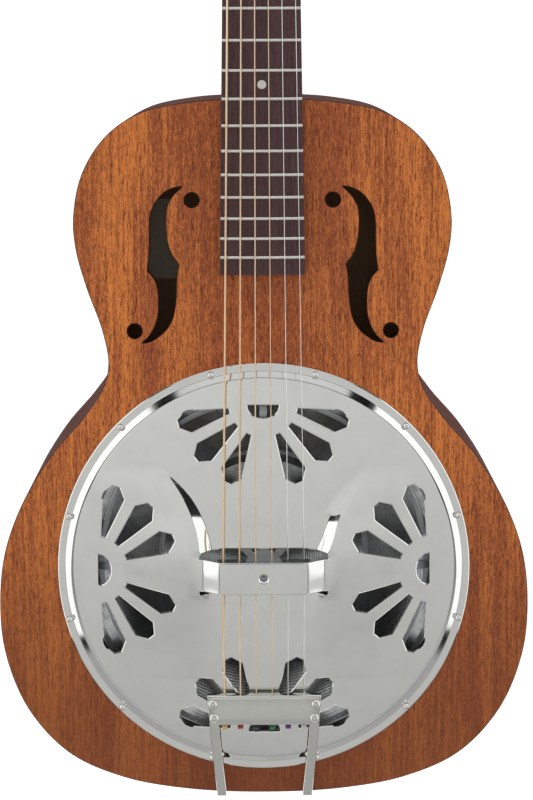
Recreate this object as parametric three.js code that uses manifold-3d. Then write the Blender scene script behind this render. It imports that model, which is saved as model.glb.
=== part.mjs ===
// A roundneck resonator guitar with a spider bridge, lying on its flat back.
// Millimetres. +Z rises out of the top, +Y runs to the headstock and +X to the treble side.
// The origin is on the back's outer face, straight under the middle of the saddle line,
// so every place along the strings is measured from the saddle.
import * as THREE from "three";
import { mergeVertices } from "three/addons/utils/BufferGeometryUtils.js";
import Module from "manifold-3d";

const wasm = await Module();
wasm.setup();

// ---- Driving dimensions ----

const SCALE_LENGTH = 635; // nut to saddle line
const BODY_DEPTH = 92; // back's outer face to top's outer face
const TOP_THICKNESS = 4.5;
const BACK_THICKNESS = 4;
const SIDE_THICKNESS = 3.5;
const COVER_RADIUS = 140; // cover plate over its flange
const WELL_RADIUS = 134; // round hole in the top, and the seat of the cone
const NECK_JOINT = SCALE_LENGTH / 2; // the 12th fret is at the body's shoulder
const NUT_WIDTH = 46;
const JOINT_WIDTH = 54; // fretboard width at the 12th fret
const BOARD_END = 200.3; // the fretboard's end over the body
const BOARD_STEP = 316.8; // where its thicker part over the body begins
const BOARD_THICKNESS = 6;
const BOARD_RISE = 6.5; // fretboard surface over the top at the 12th fret
const BOARD_DROP = 7.1; // how much lower that surface is at the nut
const BOARD_RADIUS = 305; // camber of the playing surface
const STRING_RISE = 18.2; // underside of the middle strings over the top, at the saddle
const NUT_SPREAD = 39; // outer string to outer string
const SADDLE_SPREAD = 54.3;
const STRING_DIAMETERS = [1.35, 1.07, 0.81, 0.61, 0.46, 0.4]; // bass to treble
const HEAD_THICKNESS = 14.5;
const HEAD_PITCH = 0.267; // radians, headstock face below the strings' plane
const VENEER_THICKNESS = 1.5;
const RUNNING_GAP = 0.08; // between a turning shaft and its hole
const FIT_GAP = 0.3; // air between two pieces that meet on a curve or a slant
const SMALL_GAP = 0.2;

const TOP_FACE = BODY_DEPTH;
const TOP_UNDER = BODY_DEPTH - TOP_THICKNESS;
const BOARD_SLOPE = BOARD_DROP / NECK_JOINT;

// Half of the body's outline, from the tail's middle to the shoulder's middle.
const HALF_BODY = [
  [0, -157], [52, -154.5], [96, -146.3], [133, -129.3], [160.5, -99], [175.5, -62],
  [179.3, -28], [175.8, 9], [163.4, 43.5], [142.6, 77.5], [121.3, 102.5], [107.8, 123],
  [104.2, 139], [108, 161], [118.6, 191], [125.4, 216], [127, 238], [120.6, 267.5],
  [104, 292], [81.5, 307], [50, 314], [18, 316.3], [0, 316.5],
];
const BODY_POINTS = 76; // corners of the faceted outline

// The treble f-hole: its outer and inner edges, from the upper tip to the lower one.
const F_OUTER = [
  [53.6, 258.7], [66.4, 253.8], [74.3, 241.6], [75.6, 224], [77.3, 202.1],
];
const F_OUTER_LOW = [[77.3, 202.1], [70.9, 191.6], [69.8, 177], [74, 162], [81.3, 153]];
const F_INNER_LOW = [[81.3, 153], [68.5, 158.8], [60.2, 172], [58, 188], [56.3, 206.2]];
const F_INNER = [[56.3, 206.2], [63.3, 219.5], [65.1, 236], [61.3, 250.5], [53.6, 258.7]];
const F_DOTS = [[47.2, 249.6], [86.2, 161.2]];
const F_DOT_RADIUS = 4.9;

// The cover plate's outer surface: radius, and height over the top.
const COVER_PROFILE = [
  [0, 10.8], [45, 10.5], [80, 9.4], [105, 8.1], [122, 6.9], [130.6, 6], [133.4, 4.4], [134.4, 1],
];
const COVER_THICKNESS = 1;
const HAND_REST = { from: -11.7, to: 9.8, sheet: 1.2 }; // its width along the strings
const HAND_REST_LINE = [[47.5, 15.3], [42, 16.9], [35, 21.3], [29.5, 23.6], [12, 24]];
const BRIDGE_OPENING = { x: 43, y: 15.4 };

// The stamped mound on either side of the hand rest. It widens outwards and fades into the dome.
const MOUND = { reach: 66, rise: 6, fade: [0, 8, 18, 30], share: [1, 0.72, 0.25, -0.05] };
const MOUND_STATIONS = [65.9, 54, 42, 30, 20, 13];

// Four fans of sound slots in the cover plate.
const FAN_RADIUS = 114; // fan centre to plate centre
const FAN_ANGLES = [15, 40.3, 65.6]; // slot axes, in degrees from the tangent, on both sides
const PETAL = [[23.8, 1.7], [52, 7.5], [59, 2.35]]; // distance from the fan centre, half width
const HALF_MOON = { radius: 10.6, flat: 112, round: 103 };

// The ring under the top: its ledge carries the cone's lip.
const WELL_LEDGE_RADIUS = 127;
const WELL_OUTER_RADIUS = 141.5;
const WELL_FLOOR = 46;
const CONE_LEDGE = 82;

const CONE_PROFILE = [
  [0, 78], [12, 77], [64, 56.6], [70, 57], [112, 79.6], [118, 80.6], [121.5, 83], [133.2, 83],
];
const CONE_THICKNESS = 1;
const SPIDER = {
  legs: 8, hub: 13, low: 86, high: 95, foot: 83.2, reach: 127, width: 5, tall: 4,
};
const SPIDER_LEG_LINE = [[8, 93.5], [55, 94.5], [104, 91.5], [117, 86.5], [SPIDER.reach, 86]];
const SADDLE = { inner: 4.4, outer: 29, half: 1.6, seat: 96.2 };
const TENSION_SCREW_PROFILE = [
  [0, 79], [2, 79], [2, 100.9], [3.6, 100.9], [3.6, 102.4], [2.6, 103.4], [0, 103.4],
];
const BRACE = { width: 8, height: 10 };

const TAIL_PLATE = {
  front: -83.3, rear: -103.4, halfFront: 38.2, halfRear: 36.8, top: 15.6, sheet: 1.6,
};
const TAIL_SPREAD = 53.5;
const ANCHOR_RISE = 12; // strings over the top where they pass the tailpiece's lip
const BALL_Y = -103.7;
const BALL_RADIUS = 1.9;
const STRAP = { width: 6.4, sheet: 1.6 };
const STRAP_LINE = [
  [33.7, -88, 13], [33.7, -104, 13], [29.2, -155.6, 2.6], [29.2, -157.9, 1.5], [29.2, -158.6, -1],
  [29.2, -158.6, -35.7],
]; // x, y, and height over the top, along the strap's middle
const BRACKET = { half: 33, low: 36, high: 56, front: -157.6, sheet: 1.7 };
const PIN_HEIGHT = 46;
const PIN_STEM = 3.5;
// The end pin: radius, and distance from the body's middle.
const PIN_PROFILE = [
  [0, 143], [PIN_STEM, 143], [PIN_STEM, 159.7], [7.2, 159.7], [7.2, 161.5], [4.2, 164], [4.2, 168],
  [6.6, 171.5], [6.6, 173], [0, 173],
];

// The neck's sections: y, depth under the fretboard, and how much they narrow downwards.
const NECK_SECTIONS = [
  [317.1, 83, 0.35], [321, 82.5, 0.35], [328, 76, 0.4], [336, 56, 0.4], [345, 36, 0.25],
  [358, 24, 0.1], [378, 18.2, 0], [480, 17, 0], [600, 15.6, 0], [630, 15.4, 0], [643, 15.2, 0],
];
// Half of the headstock's outline: x, distance from the nut.
const HALF_HEAD = [
  [23, 0], [23.8, 4], [27.5, 15], [33.5, 27], [34.6, 45], [35.6, 80], [37.2, 120], [39, 155],
  [38.2, 169], [31.5, 175.5], [20, 178.5], [9, 183], [0, 180],
];
const TRUSS = { half: 3, depth: 9, from: 330, to: 628 };
const ROD_COVER_OUTLINE = [[-8, 6], [8, 6], [9.5, 12], [6.5, 24], [0, 32], [-6.5, 24], [-9.5, 12]];

const POSTS = [[23.5, 45], [24.5, 85], [25.5, 125]]; // on the headstock: x, distance from the nut
const POST_RADIUS = 3;
const POST_TOP = 20;
const POST_HOLE_RADIUS = 4.2;
const COIL_LEVEL = 9; // the windings' height over the glue plane of the headstock
const GEAR_TEETH = 14;
const GEAR_PITCH_RADIUS = 6.4;
const WORM_PITCH_RADIUS = 2.9;
const WORM_PITCH = (2 * Math.PI * GEAR_PITCH_RADIUS) / GEAR_TEETH;
const WORM_OFFSET = GEAR_PITCH_RADIUS + WORM_PITCH_RADIUS;
const WORM_LEVEL = -19.4; // height of gear and worm under the headstock's face
const SHAFT_RADIUS = 1.75;
const SHAFT_REACH = 20.5; // post axis to the shaft's outer end
const TUNER_PLATE = { inner: 15.5, outer: 31.5, from: 31, to: 143, sheet: 1 };
const LUG = { near: 5.2, far: 6.4, half: 3.1, low: -23 };
const BUTTON_PROFILE = [
  [0, 0.3], [3, 0.3], [3, 3.5], [6.4, 6], [8.2, 11], [7.2, 16], [3.8, 19], [0, 19.6],
];

// ---- Small helpers ----

const v3 = (x, y, z) => new THREE.Vector3(x, y, z);
const boardSurface = (y) => TOP_FACE + BOARD_RISE - (y - NECK_JOINT) * BOARD_SLOPE;
const gluePlane = (y) => boardSurface(y) - BOARD_THICKNESS;
const boardWidth = (y) => JOINT_WIDTH + ((NUT_WIDTH - JOINT_WIDTH) * (y - NECK_JOINT)) / NECK_JOINT;
const camber = (x) => (x * x) / (2 * BOARD_RADIUS);

// A geometry as a manifold-3d solid with its faces pointing out.
function solid(geometry) {
  if (!geometry.isBufferGeometry) return geometry;
  const bare = new THREE.BufferGeometry();
  bare.setAttribute("position", geometry.getAttribute("position"));
  if (geometry.index) bare.setIndex(geometry.index);
  const merged = mergeVertices(bare, 1e-4);
  const vertProperties = merged.attributes.position.array;
  const triVerts = new Uint32Array(merged.index.array);
  const made = new wasm.Manifold(new wasm.Mesh({ numProp: 3, vertProperties, triVerts }));
  if (made.volume() > 0) return made;
  triVerts.reverse();
  return new wasm.Manifold(new wasm.Mesh({ numProp: 3, vertProperties, triVerts }));
}

function geometryOf(made) {
  const mesh = made.getMesh();
  const positions = new Float32Array(mesh.numVert * 3);
  for (let i = 0; i < mesh.numVert; i++) {
    positions.set(mesh.vertProperties.subarray(i * mesh.numProp, i * mesh.numProp + 3), i * 3);
  }
  const geometry = new THREE.BufferGeometry();
  geometry.setAttribute("position", new THREE.BufferAttribute(positions, 3));
  geometry.setIndex(new THREE.BufferAttribute(mesh.triVerts, 1));
  return geometry;
}

const join = (...geometries) => geometries.map(solid).reduce((a, b) => a.add(b));
const cut = (whole, ...tools) => tools.map(solid).reduce((a, b) => a.subtract(b), solid(whole));

function slab(shape, low, high) {
  const settings = { depth: high - low, bevelEnabled: false, curveSegments: 1 };
  const geometry = new THREE.ExtrudeGeometry(shape, settings);
  return geometry.translate(0, 0, low);
}

function block(x0, x1, y0, y1, z0, z1) {
  const geometry = new THREE.BoxGeometry(x1 - x0, y1 - y0, z1 - z0);
  return geometry.translate((x0 + x1) / 2, (y0 + y1) / 2, (z0 + z1) / 2);
}

function rod(radius, z0, z1, x = 0, y = 0, sides = 12) {
  const geometry = new THREE.CylinderGeometry(radius, radius, z1 - z0, sides);
  return geometry.rotateX(Math.PI / 2).translate(x, y, (z0 + z1) / 2);
}

// A many-sided hole's corner radius, for a shaft of that radius to turn in it.
const runningHole = (radius, sides) => (radius + RUNNING_GAP) / Math.cos(Math.PI / sides);

// A profile of [radius, height] turned about +Z.
function turned(profile, sides) {
  const points = profile.map(([r, z]) => new THREE.Vector2(r, z));
  return new THREE.LatheGeometry(points, sides).rotateX(Math.PI / 2);
}

// A turned sheet: its outer surface as a profile from the axis outwards, and its thickness.
function turnedSheet(profile, thickness, sides) {
  const under = profile.map(([r, z]) => [r, z - thickness]).reverse();
  return turned([...profile, ...under], sides);
}

// A closed body through rings that have the same number of points, its ends capped.
function loft(rings) {
  const count = rings[0].length;
  const positions = rings.flat().flatMap((p) => [p.x, p.y, p.z]);
  const faces = [];
  for (let i = 0; i + 1 < rings.length; i++) {
    for (let j = 0; j < count; j++) {
      const a = i * count + j;
      const b = i * count + ((j + 1) % count);
      faces.push(a, b, a + count, b, b + count, a + count);
    }
  }
  const last = (rings.length - 1) * count;
  for (let j = 1; j + 1 < count; j++) {
    faces.push(0, j + 1, j, last, last + j, last + j + 1);
  }
  const geometry = new THREE.BufferGeometry();
  geometry.setAttribute("position", new THREE.Float32BufferAttribute(positions, 3));
  geometry.setIndex(faces);
  return geometry;
}

const shapeOf = (points) => new THREE.Shape(points.map(([x, y]) => new THREE.Vector2(x, y)));
const mirrored = (points) => points.map(([x, y]) => [-x, y]).reverse();

function curved(points, steps) {
  const curve = new THREE.CatmullRomCurve3(points.map(([x, y]) => v3(x, y, 0)), false, "centripetal");
  return curve.getPoints(steps).map((p) => [p.x, p.y]);
}

// ---- Body ----

// The body's outline drawn in by a distance, as a ring of [x, y].
function bodyOutline(inset = 0) {
  const left = HALF_BODY.slice(1, -1).map(([x, y]) => [-x, y]).reverse();
  const points = [...HALF_BODY, ...left].map(([x, y]) => v3(x, y, 0));
  const curve = new THREE.CatmullRomCurve3(points, true, "centripetal");
  const ring = curve.getSpacedPoints(BODY_POINTS).slice(0, BODY_POINTS);
  return ring.map((p, i) => {
    const before = ring[(i + BODY_POINTS - 1) % BODY_POINTS];
    const after = ring[(i + 1) % BODY_POINTS];
    const along = v3(after.x - before.x, after.y - before.y, 0).normalize();
    return [p.x - along.y * inset, p.y + along.x * inset];
  });
}

const circle = (radius, sides, x = 0, y = 0) =>
  Array.from({ length: sides }, (_, i) => {
    const angle = (2 * Math.PI * i) / sides;
    return [x + radius * Math.cos(angle), y + radius * Math.sin(angle)];
  });

function fHole() {
  const edges = [
    curved(F_OUTER, 8), curved(F_OUTER_LOW, 8), curved(F_INNER_LOW, 8), curved(F_INNER, 8),
  ];
  return edges.flatMap((edge) => edge.slice(0, -1));
}

function topBoard() {
  const shape = shapeOf(bodyOutline());
  const right = [fHole(), ...F_DOTS.map(([x, y]) => circle(F_DOT_RADIUS, 10, x, y))];
  const holes = [circle(WELL_RADIUS, 48), ...right, ...right.map(mirrored)];
  shape.holes = holes.map(shapeOf);
  return slab(shape, TOP_UNDER, TOP_FACE);
}

const backBoard = () => slab(shapeOf(bodyOutline()), 0, BACK_THICKNESS);

function pinHole(reach) {
  const radius = PIN_STEM + FIT_GAP;
  return new THREE.CylinderGeometry(radius, radius, reach, 12).translate(0, -157, PIN_HEIGHT);
}

function sideRim() {
  const shape = shapeOf(bodyOutline());
  shape.holes = [shapeOf(bodyOutline(SIDE_THICKNESS))];
  return cut(slab(shape, BACK_THICKNESS, TOP_UNDER), pinHole(24));
}

const soundwell = () =>
  turned([
    [WELL_LEDGE_RADIUS, WELL_FLOOR], [WELL_OUTER_RADIUS, WELL_FLOOR], [WELL_OUTER_RADIUS, TOP_UNDER],
    [WELL_RADIUS, TOP_UNDER], [WELL_RADIUS, CONE_LEDGE], [WELL_LEDGE_RADIUS, CONE_LEDGE],
    [WELL_LEDGE_RADIUS, WELL_FLOOR],
  ], 48);

const neckBlock = () => block(-32, 32, 272, 310, BACK_THICKNESS, TOP_UNDER);

function tailBlock() {
  const whole = block(-30, 30, -151.4, -128, BACK_THICKNESS, TOP_UNDER);
  const wellRoom = rod(WELL_OUTER_RADIUS + FIT_GAP, WELL_FLOOR - 1, TOP_UNDER + 1, 0, 0, 96);
  return cut(whole, wellRoom, pinHole(40));
}

const backBrace = (y, half) =>
  block(-half, half, y, y + BRACE.width, BACK_THICKNESS, BACK_THICKNESS + BRACE.height);
const topBrace = (y, half) =>
  block(-half, half, y, y + BRACE.width - 2, TOP_UNDER - BRACE.height, TOP_UNDER);

// ---- Resonator ----

const cone = () => turnedSheet(CONE_PROFILE, CONE_THICKNESS, 40);

function fanSlots() {
  const { radius, flat, round } = HALF_MOON;
  const moon = circle(radius, 20, 0, flat).filter(([, y]) => y < flat + 0.1);
  const flattened = (flat - round) / radius;
  const moonShape = moon.map(([x, y]) => [x, flat + (y - flat) * flattened]);
  const petal = [...PETAL, ...PETAL.map(([u, w]) => [u, -w]).reverse()];
  const shapes = [moonShape];
  for (const degrees of FAN_ANGLES.flatMap((a) => [-a, a - 180])) {
    const a = THREE.MathUtils.degToRad(degrees);
    const turn = ([u, w]) => [
      u * Math.cos(a) - w * Math.sin(a), FAN_RADIUS + u * Math.sin(a) + w * Math.cos(a),
    ];
    shapes.push(petal.map(turn));
  }
  const fan = shapes.map((points) => slab(shapeOf(points), TOP_FACE - 1, TOP_FACE + 20));
  return [0, 1, 2, 3].flatMap((k) => fan.map((slot) => slot.clone().rotateZ((k * Math.PI) / 2)));
}

// The hand rest is an arch over the opening for the saddles.
function handRest() {
  const half = HAND_REST_LINE.map(([x, h]) => [x, TOP_FACE + h]);
  const line = [...half.map(([x, z]) => [-x, z]), ...half.reverse()];
  const { from, to, sheet } = HAND_REST;
  return loft(line.map(([x, z]) => [
    v3(x, from, z - sheet), v3(x, to, z - sheet), v3(x, to, z), v3(x, from, z),
  ]));
}

// The dome's height over the top at a distance from its middle.
function domeHeight(r) {
  const i = COVER_PROFILE.findIndex(([radius]) => radius >= r);
  const [r0, h0] = COVER_PROFILE[Math.max(i - 1, 0)];
  const [r1, h1] = COVER_PROFILE[i];
  return r1 > r0 ? h0 + ((h1 - h0) * (r - r0)) / (r1 - r0) : h0;
}

// A section of the mound across the strings: a steep wall from its foot to its crest, then a long
// slope. A dropped section goes below the sheet, to hollow the mound out.
function moundRing(side, y, drop) {
  const reach = Math.abs(y);
  const crest = 43 + 18.5 * (Math.max(reach - 14, 0) / 51) ** 2;
  const foot = 34.7 + 23.1 * (Math.max(reach - 16, 0) / 48) ** 1.6 - (y < 0 ? 5 : 0);
  const rise = MOUND.rise * (1 - reach / MOUND.reach) ** 0.9;
  const line = [[foot, -0.3], ...MOUND.fade.map((step, i) => [crest + step, rise * MOUND.share[i]])];
  const at = ([x, h]) => v3(side * x, y, TOP_FACE + domeHeight(Math.hypot(x, y)) + h);
  const upper = line.map(([x, h]) => at([x, h - drop]));
  const lower = line.map(([x]) => at([x, drop ? -4 : -0.7])).reverse();
  return [...upper, ...lower];
}

function mound(side, drop) {
  const stations = [...MOUND_STATIONS, ...MOUND_STATIONS.map((y) => -y).reverse()];
  return loft(stations.map((y) => moundRing(side, y, drop)));
}

function coverPlate() {
  const outer = COVER_PROFILE.map(([r, h]) => [r, TOP_FACE + h]);
  const inner = COVER_PROFILE.slice(0, -1).map(([r, h]) => [
    r - (r > 0 ? 0.6 : 0), TOP_FACE + h - COVER_THICKNESS,
  ]);
  const rim = [[COVER_RADIUS, TOP_FACE + 1], [COVER_RADIUS, TOP_FACE], [133.2, TOP_FACE]];
  const dome = turned([...outer, ...rim, ...inner.reverse()], 48);
  const { x, y } = BRIDGE_OPENING;
  const quarter = [[x, y - 11], [x - 3, y - 4], [x - 8, y]];
  const right = [...quarter.map(([a, b]) => [a, -b]).reverse(), ...quarter];
  const opening = slab(shapeOf([...right, ...mirrored(right)]), TOP_FACE, TOP_FACE + 20);
  const stamped = cut(join(dome, mound(-1, 0), mound(1, 0)), mound(-1, 1.2), mound(1, 1.2));
  const pierced = cut(stamped, opening, ...fanSlots());
  return cut(join(pierced, handRest()), rod(2.6, TOP_FACE + 20, TOP_FACE + 30, 0, -0.9, 10));
}

function spiderLeg(angle) {
  const rings = SPIDER_LEG_LINE.map(([r, top], i) => {
    const low = i > 2 ? SPIDER.foot : top - SPIDER.tall;
    const half = SPIDER.width / 2;
    return [v3(r, -half, low), v3(r, half, low), v3(r, half, top), v3(r, -half, top)];
  });
  return loft(rings).rotateZ(angle);
}

function spider() {
  const step = (2 * Math.PI) / SPIDER.legs;
  const legs = Array.from({ length: SPIDER.legs }, (_, i) => spiderLeg(i * step));
  const bar = block(-31, 31, -4.6, 4.6, 91, 100.6);
  const whole = join(rod(SPIDER.hub, SPIDER.low, SPIDER.high, 0, 0, 20), bar, ...legs);
  const slotHalf = SADDLE.half + SMALL_GAP;
  const slot = block(-31.5, 31.5, -slotHalf, slotHalf, SADDLE.seat, 102);
  return cut(whole, slot, rod(2.4, 80, 104, 0, 0, 10));
}

// One half of the split saddle, its top following the strings' camber.
function saddle(side) {
  const rings = [SADDLE.inner, 12, 20, SADDLE.outer].map((x) => {
    const top = TOP_FACE + STRING_RISE - SMALL_GAP - camber(x);
    const low = SADDLE.seat + SMALL_GAP;
    return [
      v3(side * x, -SADDLE.half, low), v3(side * x, SADDLE.half, low),
      v3(side * x, SADDLE.half, top - 1.2), v3(side * x, 0.4, top), v3(side * x, -0.4, top),
      v3(side * x, -SADDLE.half, top - 1.2),
    ];
  });
  return solid(loft(rings));
}

const tensionScrew = () => turned(TENSION_SCREW_PROFILE, 12);

// ---- Strings ----

const stringX = (i, spread) => ((i - 2.5) / 5) * spread;

// Where the string meets the saddle and the nut, as the height of its middle.
const saddleHeight = (i) =>
  TOP_FACE + STRING_RISE + STRING_DIAMETERS[i] / 2 - camber(stringX(i, SADDLE_SPREAD));
const nutHeight = (i) =>
  boardSurface(SCALE_LENGTH) + 1.7 + STRING_DIAMETERS[i] / 2 - camber(stringX(i, NUT_SPREAD));

const headMatrix = new THREE.Matrix4()
  .makeTranslation(0, SCALE_LENGTH + 5, gluePlane(SCALE_LENGTH + 5))
  .multiply(new THREE.Matrix4().makeRotationX(-HEAD_PITCH));
const onHead = (x, y, z) => v3(x, y, z).applyMatrix4(headMatrix);

// The bass posts, nearest first, take strings 0, 1, 2; the treble ones take 5, 4, 3.
function postOf(i) {
  const side = i < 3 ? -1 : 1;
  const [x, y] = POSTS[i < 3 ? i : 5 - i];
  return { side, x: side * x, y };
}

function stringPath(i) {
  const radius = STRING_DIAMETERS[i] / 2;
  const post = postOf(i);
  const tangent = post.x - post.side * (POST_RADIUS + radius + SMALL_GAP);
  const anchorX = stringX(i, TAIL_SPREAD);
  const nutX = stringX(i, NUT_SPREAD);
  return [
    v3(anchorX, BALL_Y - 1, TOP_FACE + ANCHOR_RISE),
    v3(anchorX, TAIL_PLATE.front + 3, TOP_FACE + ANCHOR_RISE + 0.2),
    v3(stringX(i, SADDLE_SPREAD), 0, saddleHeight(i)),
    v3(nutX, SCALE_LENGTH + 0.5, nutHeight(i)),
    v3(nutX, SCALE_LENGTH + 4.8, nutHeight(i) - 0.7),
    onHead(tangent, post.y, COIL_LEVEL),
  ];
}

// A ball, and the tube of the string that it stops.
function guitarString(i) {
  const radius = STRING_DIAMETERS[i] / 2;
  const rings = stringPath(i).map((p) =>
    circle(radius, 8).map(([x, z]) => v3(p.x + x, p.y, p.z + z)));
  const anchor = stringPath(i)[0];
  const ball = new THREE.SphereGeometry(BALL_RADIUS, 8, 5).translate(anchor.x, BALL_Y, anchor.z);
  return join(ball, loft(rings));
}

// ---- Tailpiece ----

// A folded plate with a slotted lip in front and a slotted comb that the balls hook behind.
function tailpiecePlate() {
  const { front, rear, halfFront, halfRear, top, sheet } = TAIL_PLATE;
  const corners = [[-halfRear, rear], [halfRear, rear], [halfFront, front], [-halfFront, front]];
  const deck = slab(shapeOf(corners), TOP_FACE + top - sheet, TOP_FACE + top);
  const lipHalf = halfFront - 0.5;
  const lipTop = TOP_FACE + top - 0.5;
  const lip = block(-lipHalf, lipHalf, front - sheet, front, TOP_FACE + 10.6, lipTop);
  const combRear = BALL_Y + BALL_RADIUS + SMALL_GAP;
  const comb = block(-30, 30, combRear, combRear + sheet, TOP_FACE + 10.2, lipTop);
  const notches = STRING_DIAMETERS.map((diameter, i) => {
    const x = stringX(i, TAIL_SPREAD);
    const half = diameter / 2 + FIT_GAP;
    const notchTop = TOP_FACE + ANCHOR_RISE + half + 0.4;
    return block(x - half, x + half, combRear - 1, front + 1, TOP_FACE + 9, notchTop);
  });
  return cut(join(deck, lip, comb), ...notches);
}

// A flat bar that runs from under the plate, over the body's edge and down the tail.
function tailpieceStrap(side) {
  const half = STRAP.width / 2;
  const sheet = STRAP.sheet / 2;
  const rings = STRAP_LINE.map(([x, y, h], i) => {
    const [, y0, h0] = STRAP_LINE[Math.max(i - 1, 0)];
    const [, y1, h1] = STRAP_LINE[Math.min(i + 1, STRAP_LINE.length - 1)];
    const along = v3(0, y1 - y0, h1 - h0).normalize();
    const up = v3(0, along.z * sheet, -along.y * sheet);
    const middle = v3(side * x, y, TOP_FACE + h);
    const corner = (s, u) => middle.clone().add(v3(s * half, 0, 0)).addScaledVector(up, u);
    return [corner(-1, -1), corner(1, -1), corner(1, 1), corner(-1, 1)];
  });
  return solid(loft(rings));
}

function tailBracket() {
  const { half, low, high, front, sheet } = BRACKET;
  const middle = (low + high) / 2;
  const outline = [
    [-half, middle + 3], [-half + 14, low], [half - 14, low], [half, middle + 3],
    [half, high], [-half, high],
  ];
  const plate = slab(shapeOf(outline), 0, sheet).rotateX(Math.PI / 2).translate(0, front, 0);
  return cut(solid(plate), pinHole(24));
}

const endPin = () => turned(PIN_PROFILE, 16).rotateX(Math.PI / 2).translate(0, 0, PIN_HEIGHT);

// ---- Neck ----

// A section of the neck: flat on top, rounded below, pinched towards its lowest point.
function neckRing(y, depth, pinch) {
  const half = boardWidth(y) / 2;
  const level = gluePlane(y);
  return Array.from({ length: 11 }, (_, k) => {
    const t = (Math.PI * k) / 10;
    const across = Math.sign(Math.cos(t)) * Math.abs(Math.cos(t)) ** (1 + pinch);
    return v3(half * across, y, level - depth * Math.sin(t));
  });
}

function headShape(from) {
  const half = [[HALF_HEAD[0][0], from], ...HALF_HEAD.slice(1)];
  return shapeOf([...half, ...mirrored(half.slice(0, -1))]);
}

function trussRod(gap = 0) {
  const half = TRUSS.half + gap;
  const ring = (y) => {
    const top = gluePlane(y) - 1 + (gap ? 3 : 0);
    const low = gluePlane(y) - TRUSS.depth - gap;
    return [v3(-half, y, low), v3(half, y, low), v3(half, y, top), v3(-half, y, top)];
  };
  return loft([ring(TRUSS.from - gap), ring(TRUSS.to + gap)]);
}

const postHoles = () =>
  STRING_DIAMETERS.map((_, i) => {
    const { x, y } = postOf(i);
    return rod(POST_HOLE_RADIUS, -HEAD_THICKNESS - 2, VENEER_THICKNESS + 1, x, y, 12);
  });

function neck() {
  const shaft = loft(NECK_SECTIONS.map(([y, depth, pinch]) => neckRing(y, depth, pinch)));
  const head = slab(headShape(0), -HEAD_THICKNESS, 0).applyMatrix4(headMatrix);
  const whole = join(shaft, head);
  const noseTrim = block(-40, 40, 0.6, 12, 0, 12).applyMatrix4(headMatrix);
  const holes = postHoles().map((hole) => hole.applyMatrix4(headMatrix));
  return cut(whole, noseTrim, trussRod(FIT_GAP), ...holes);
}

// The board lies on the neck, and its end thickens to lie on the body's flat top.
function fretboard() {
  const ring = (y) => {
    const half = boardWidth(y) / 2;
    const low = y < BOARD_STEP ? TOP_FACE : gluePlane(y) + 0.05;
    const across = [half, half / 2, 0, -half / 2, -half];
    const top = across.map((x) => v3(x, y, boardSurface(y) - camber(x)));
    return [v3(-half, y, low), v3(half, y, low), ...top];
  };
  const ends = [ring(BOARD_END), ring(BOARD_STEP - 0.01), ring(BOARD_STEP), ring(SCALE_LENGTH)];
  return solid(loft(ends));
}

function nut() {
  const start = SCALE_LENGTH + 0.1;
  const ring = (x) => {
    const low = gluePlane(start) + 0.1;
    const top = boardSurface(start) + 1.5 - camber(x);
    return [
      v3(x, start, low), v3(x, start + 4.6, low), v3(x, start + 4.6, top - 0.9), v3(x, start, top),
    ];
  };
  const half = NUT_WIDTH / 2 - 0.2;
  return solid(loft([-half, -half / 2, 0, half / 2, half].map(ring)));
}

const headVeneer = () => cut(slab(headShape(1), 0.1, VENEER_THICKNESS), ...postHoles());

const rodCover = () =>
  slab(shapeOf(ROD_COVER_OUTLINE), VENEER_THICKNESS + 0.1, VENEER_THICKNESS + 2.1);

// ---- Tuners ----

// One plate carries three tuners: two lugs at each hold the worm's shaft.
function tunerPlate(side) {
  const { inner, outer, from, to, sheet } = TUNER_PLATE;
  const low = -HEAD_THICKNESS - SMALL_GAP - sheet;
  const xs = [side * inner, side * outer].sort((a, b) => a - b);
  const pieces = [block(xs[0], xs[1], from, to, low, low + sheet)];
  const tools = [];
  for (const [x, y] of POSTS) {
    for (const way of [-1, 1]) {
      const ends = [side * x + way * LUG.near, side * x + way * LUG.far].sort((a, b) => a - b);
      const axis = y + WORM_OFFSET;
      pieces.push(block(ends[0], ends[1], axis - LUG.half, axis + LUG.half, LUG.low, low + 0.5));
    }
    tools.push(
      rod(runningHole(POST_RADIUS, 12), low - 1, low + sheet + 1, side * x, y, 12),
      rod(runningHole(SHAFT_RADIUS, 12), -15, 15, 0, 0, 12)
        .rotateY(Math.PI / 2).translate(side * x, y + WORM_OFFSET, WORM_LEVEL),
    );
  }
  return cut(join(...pieces), ...tools);
}

const tunerPost = () =>
  turned([
    [0, WORM_LEVEL + 1.8], [POST_RADIUS, WORM_LEVEL + 1.8], [POST_RADIUS, 5], [2.6, 7],
    [2.6, 14], [POST_RADIUS, 16], [POST_RADIUS, POST_TOP - 1], [2.2, POST_TOP], [0, POST_TOP],
  ], 12);

// Straight teeth, thin enough for the worm's slanted thread. One tooth points at the worm.
function tunerGear() {
  const step = (2 * Math.PI) / GEAR_TEETH;
  const at = (radius, angle) => [radius * Math.sin(angle), radius * Math.cos(angle)];
  const points = [];
  for (let i = 0; i < GEAR_TEETH; i++) {
    const middle = i * step;
    points.push(
      at(5.4, middle - 0.14), at(7.05, middle - 0.05), at(7.05, middle + 0.05), at(5.4, middle + 0.14),
    );
  }
  return slab(shapeOf(points.reverse()), WORM_LEVEL - 1.5, WORM_LEVEL + 1.5);
}

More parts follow.
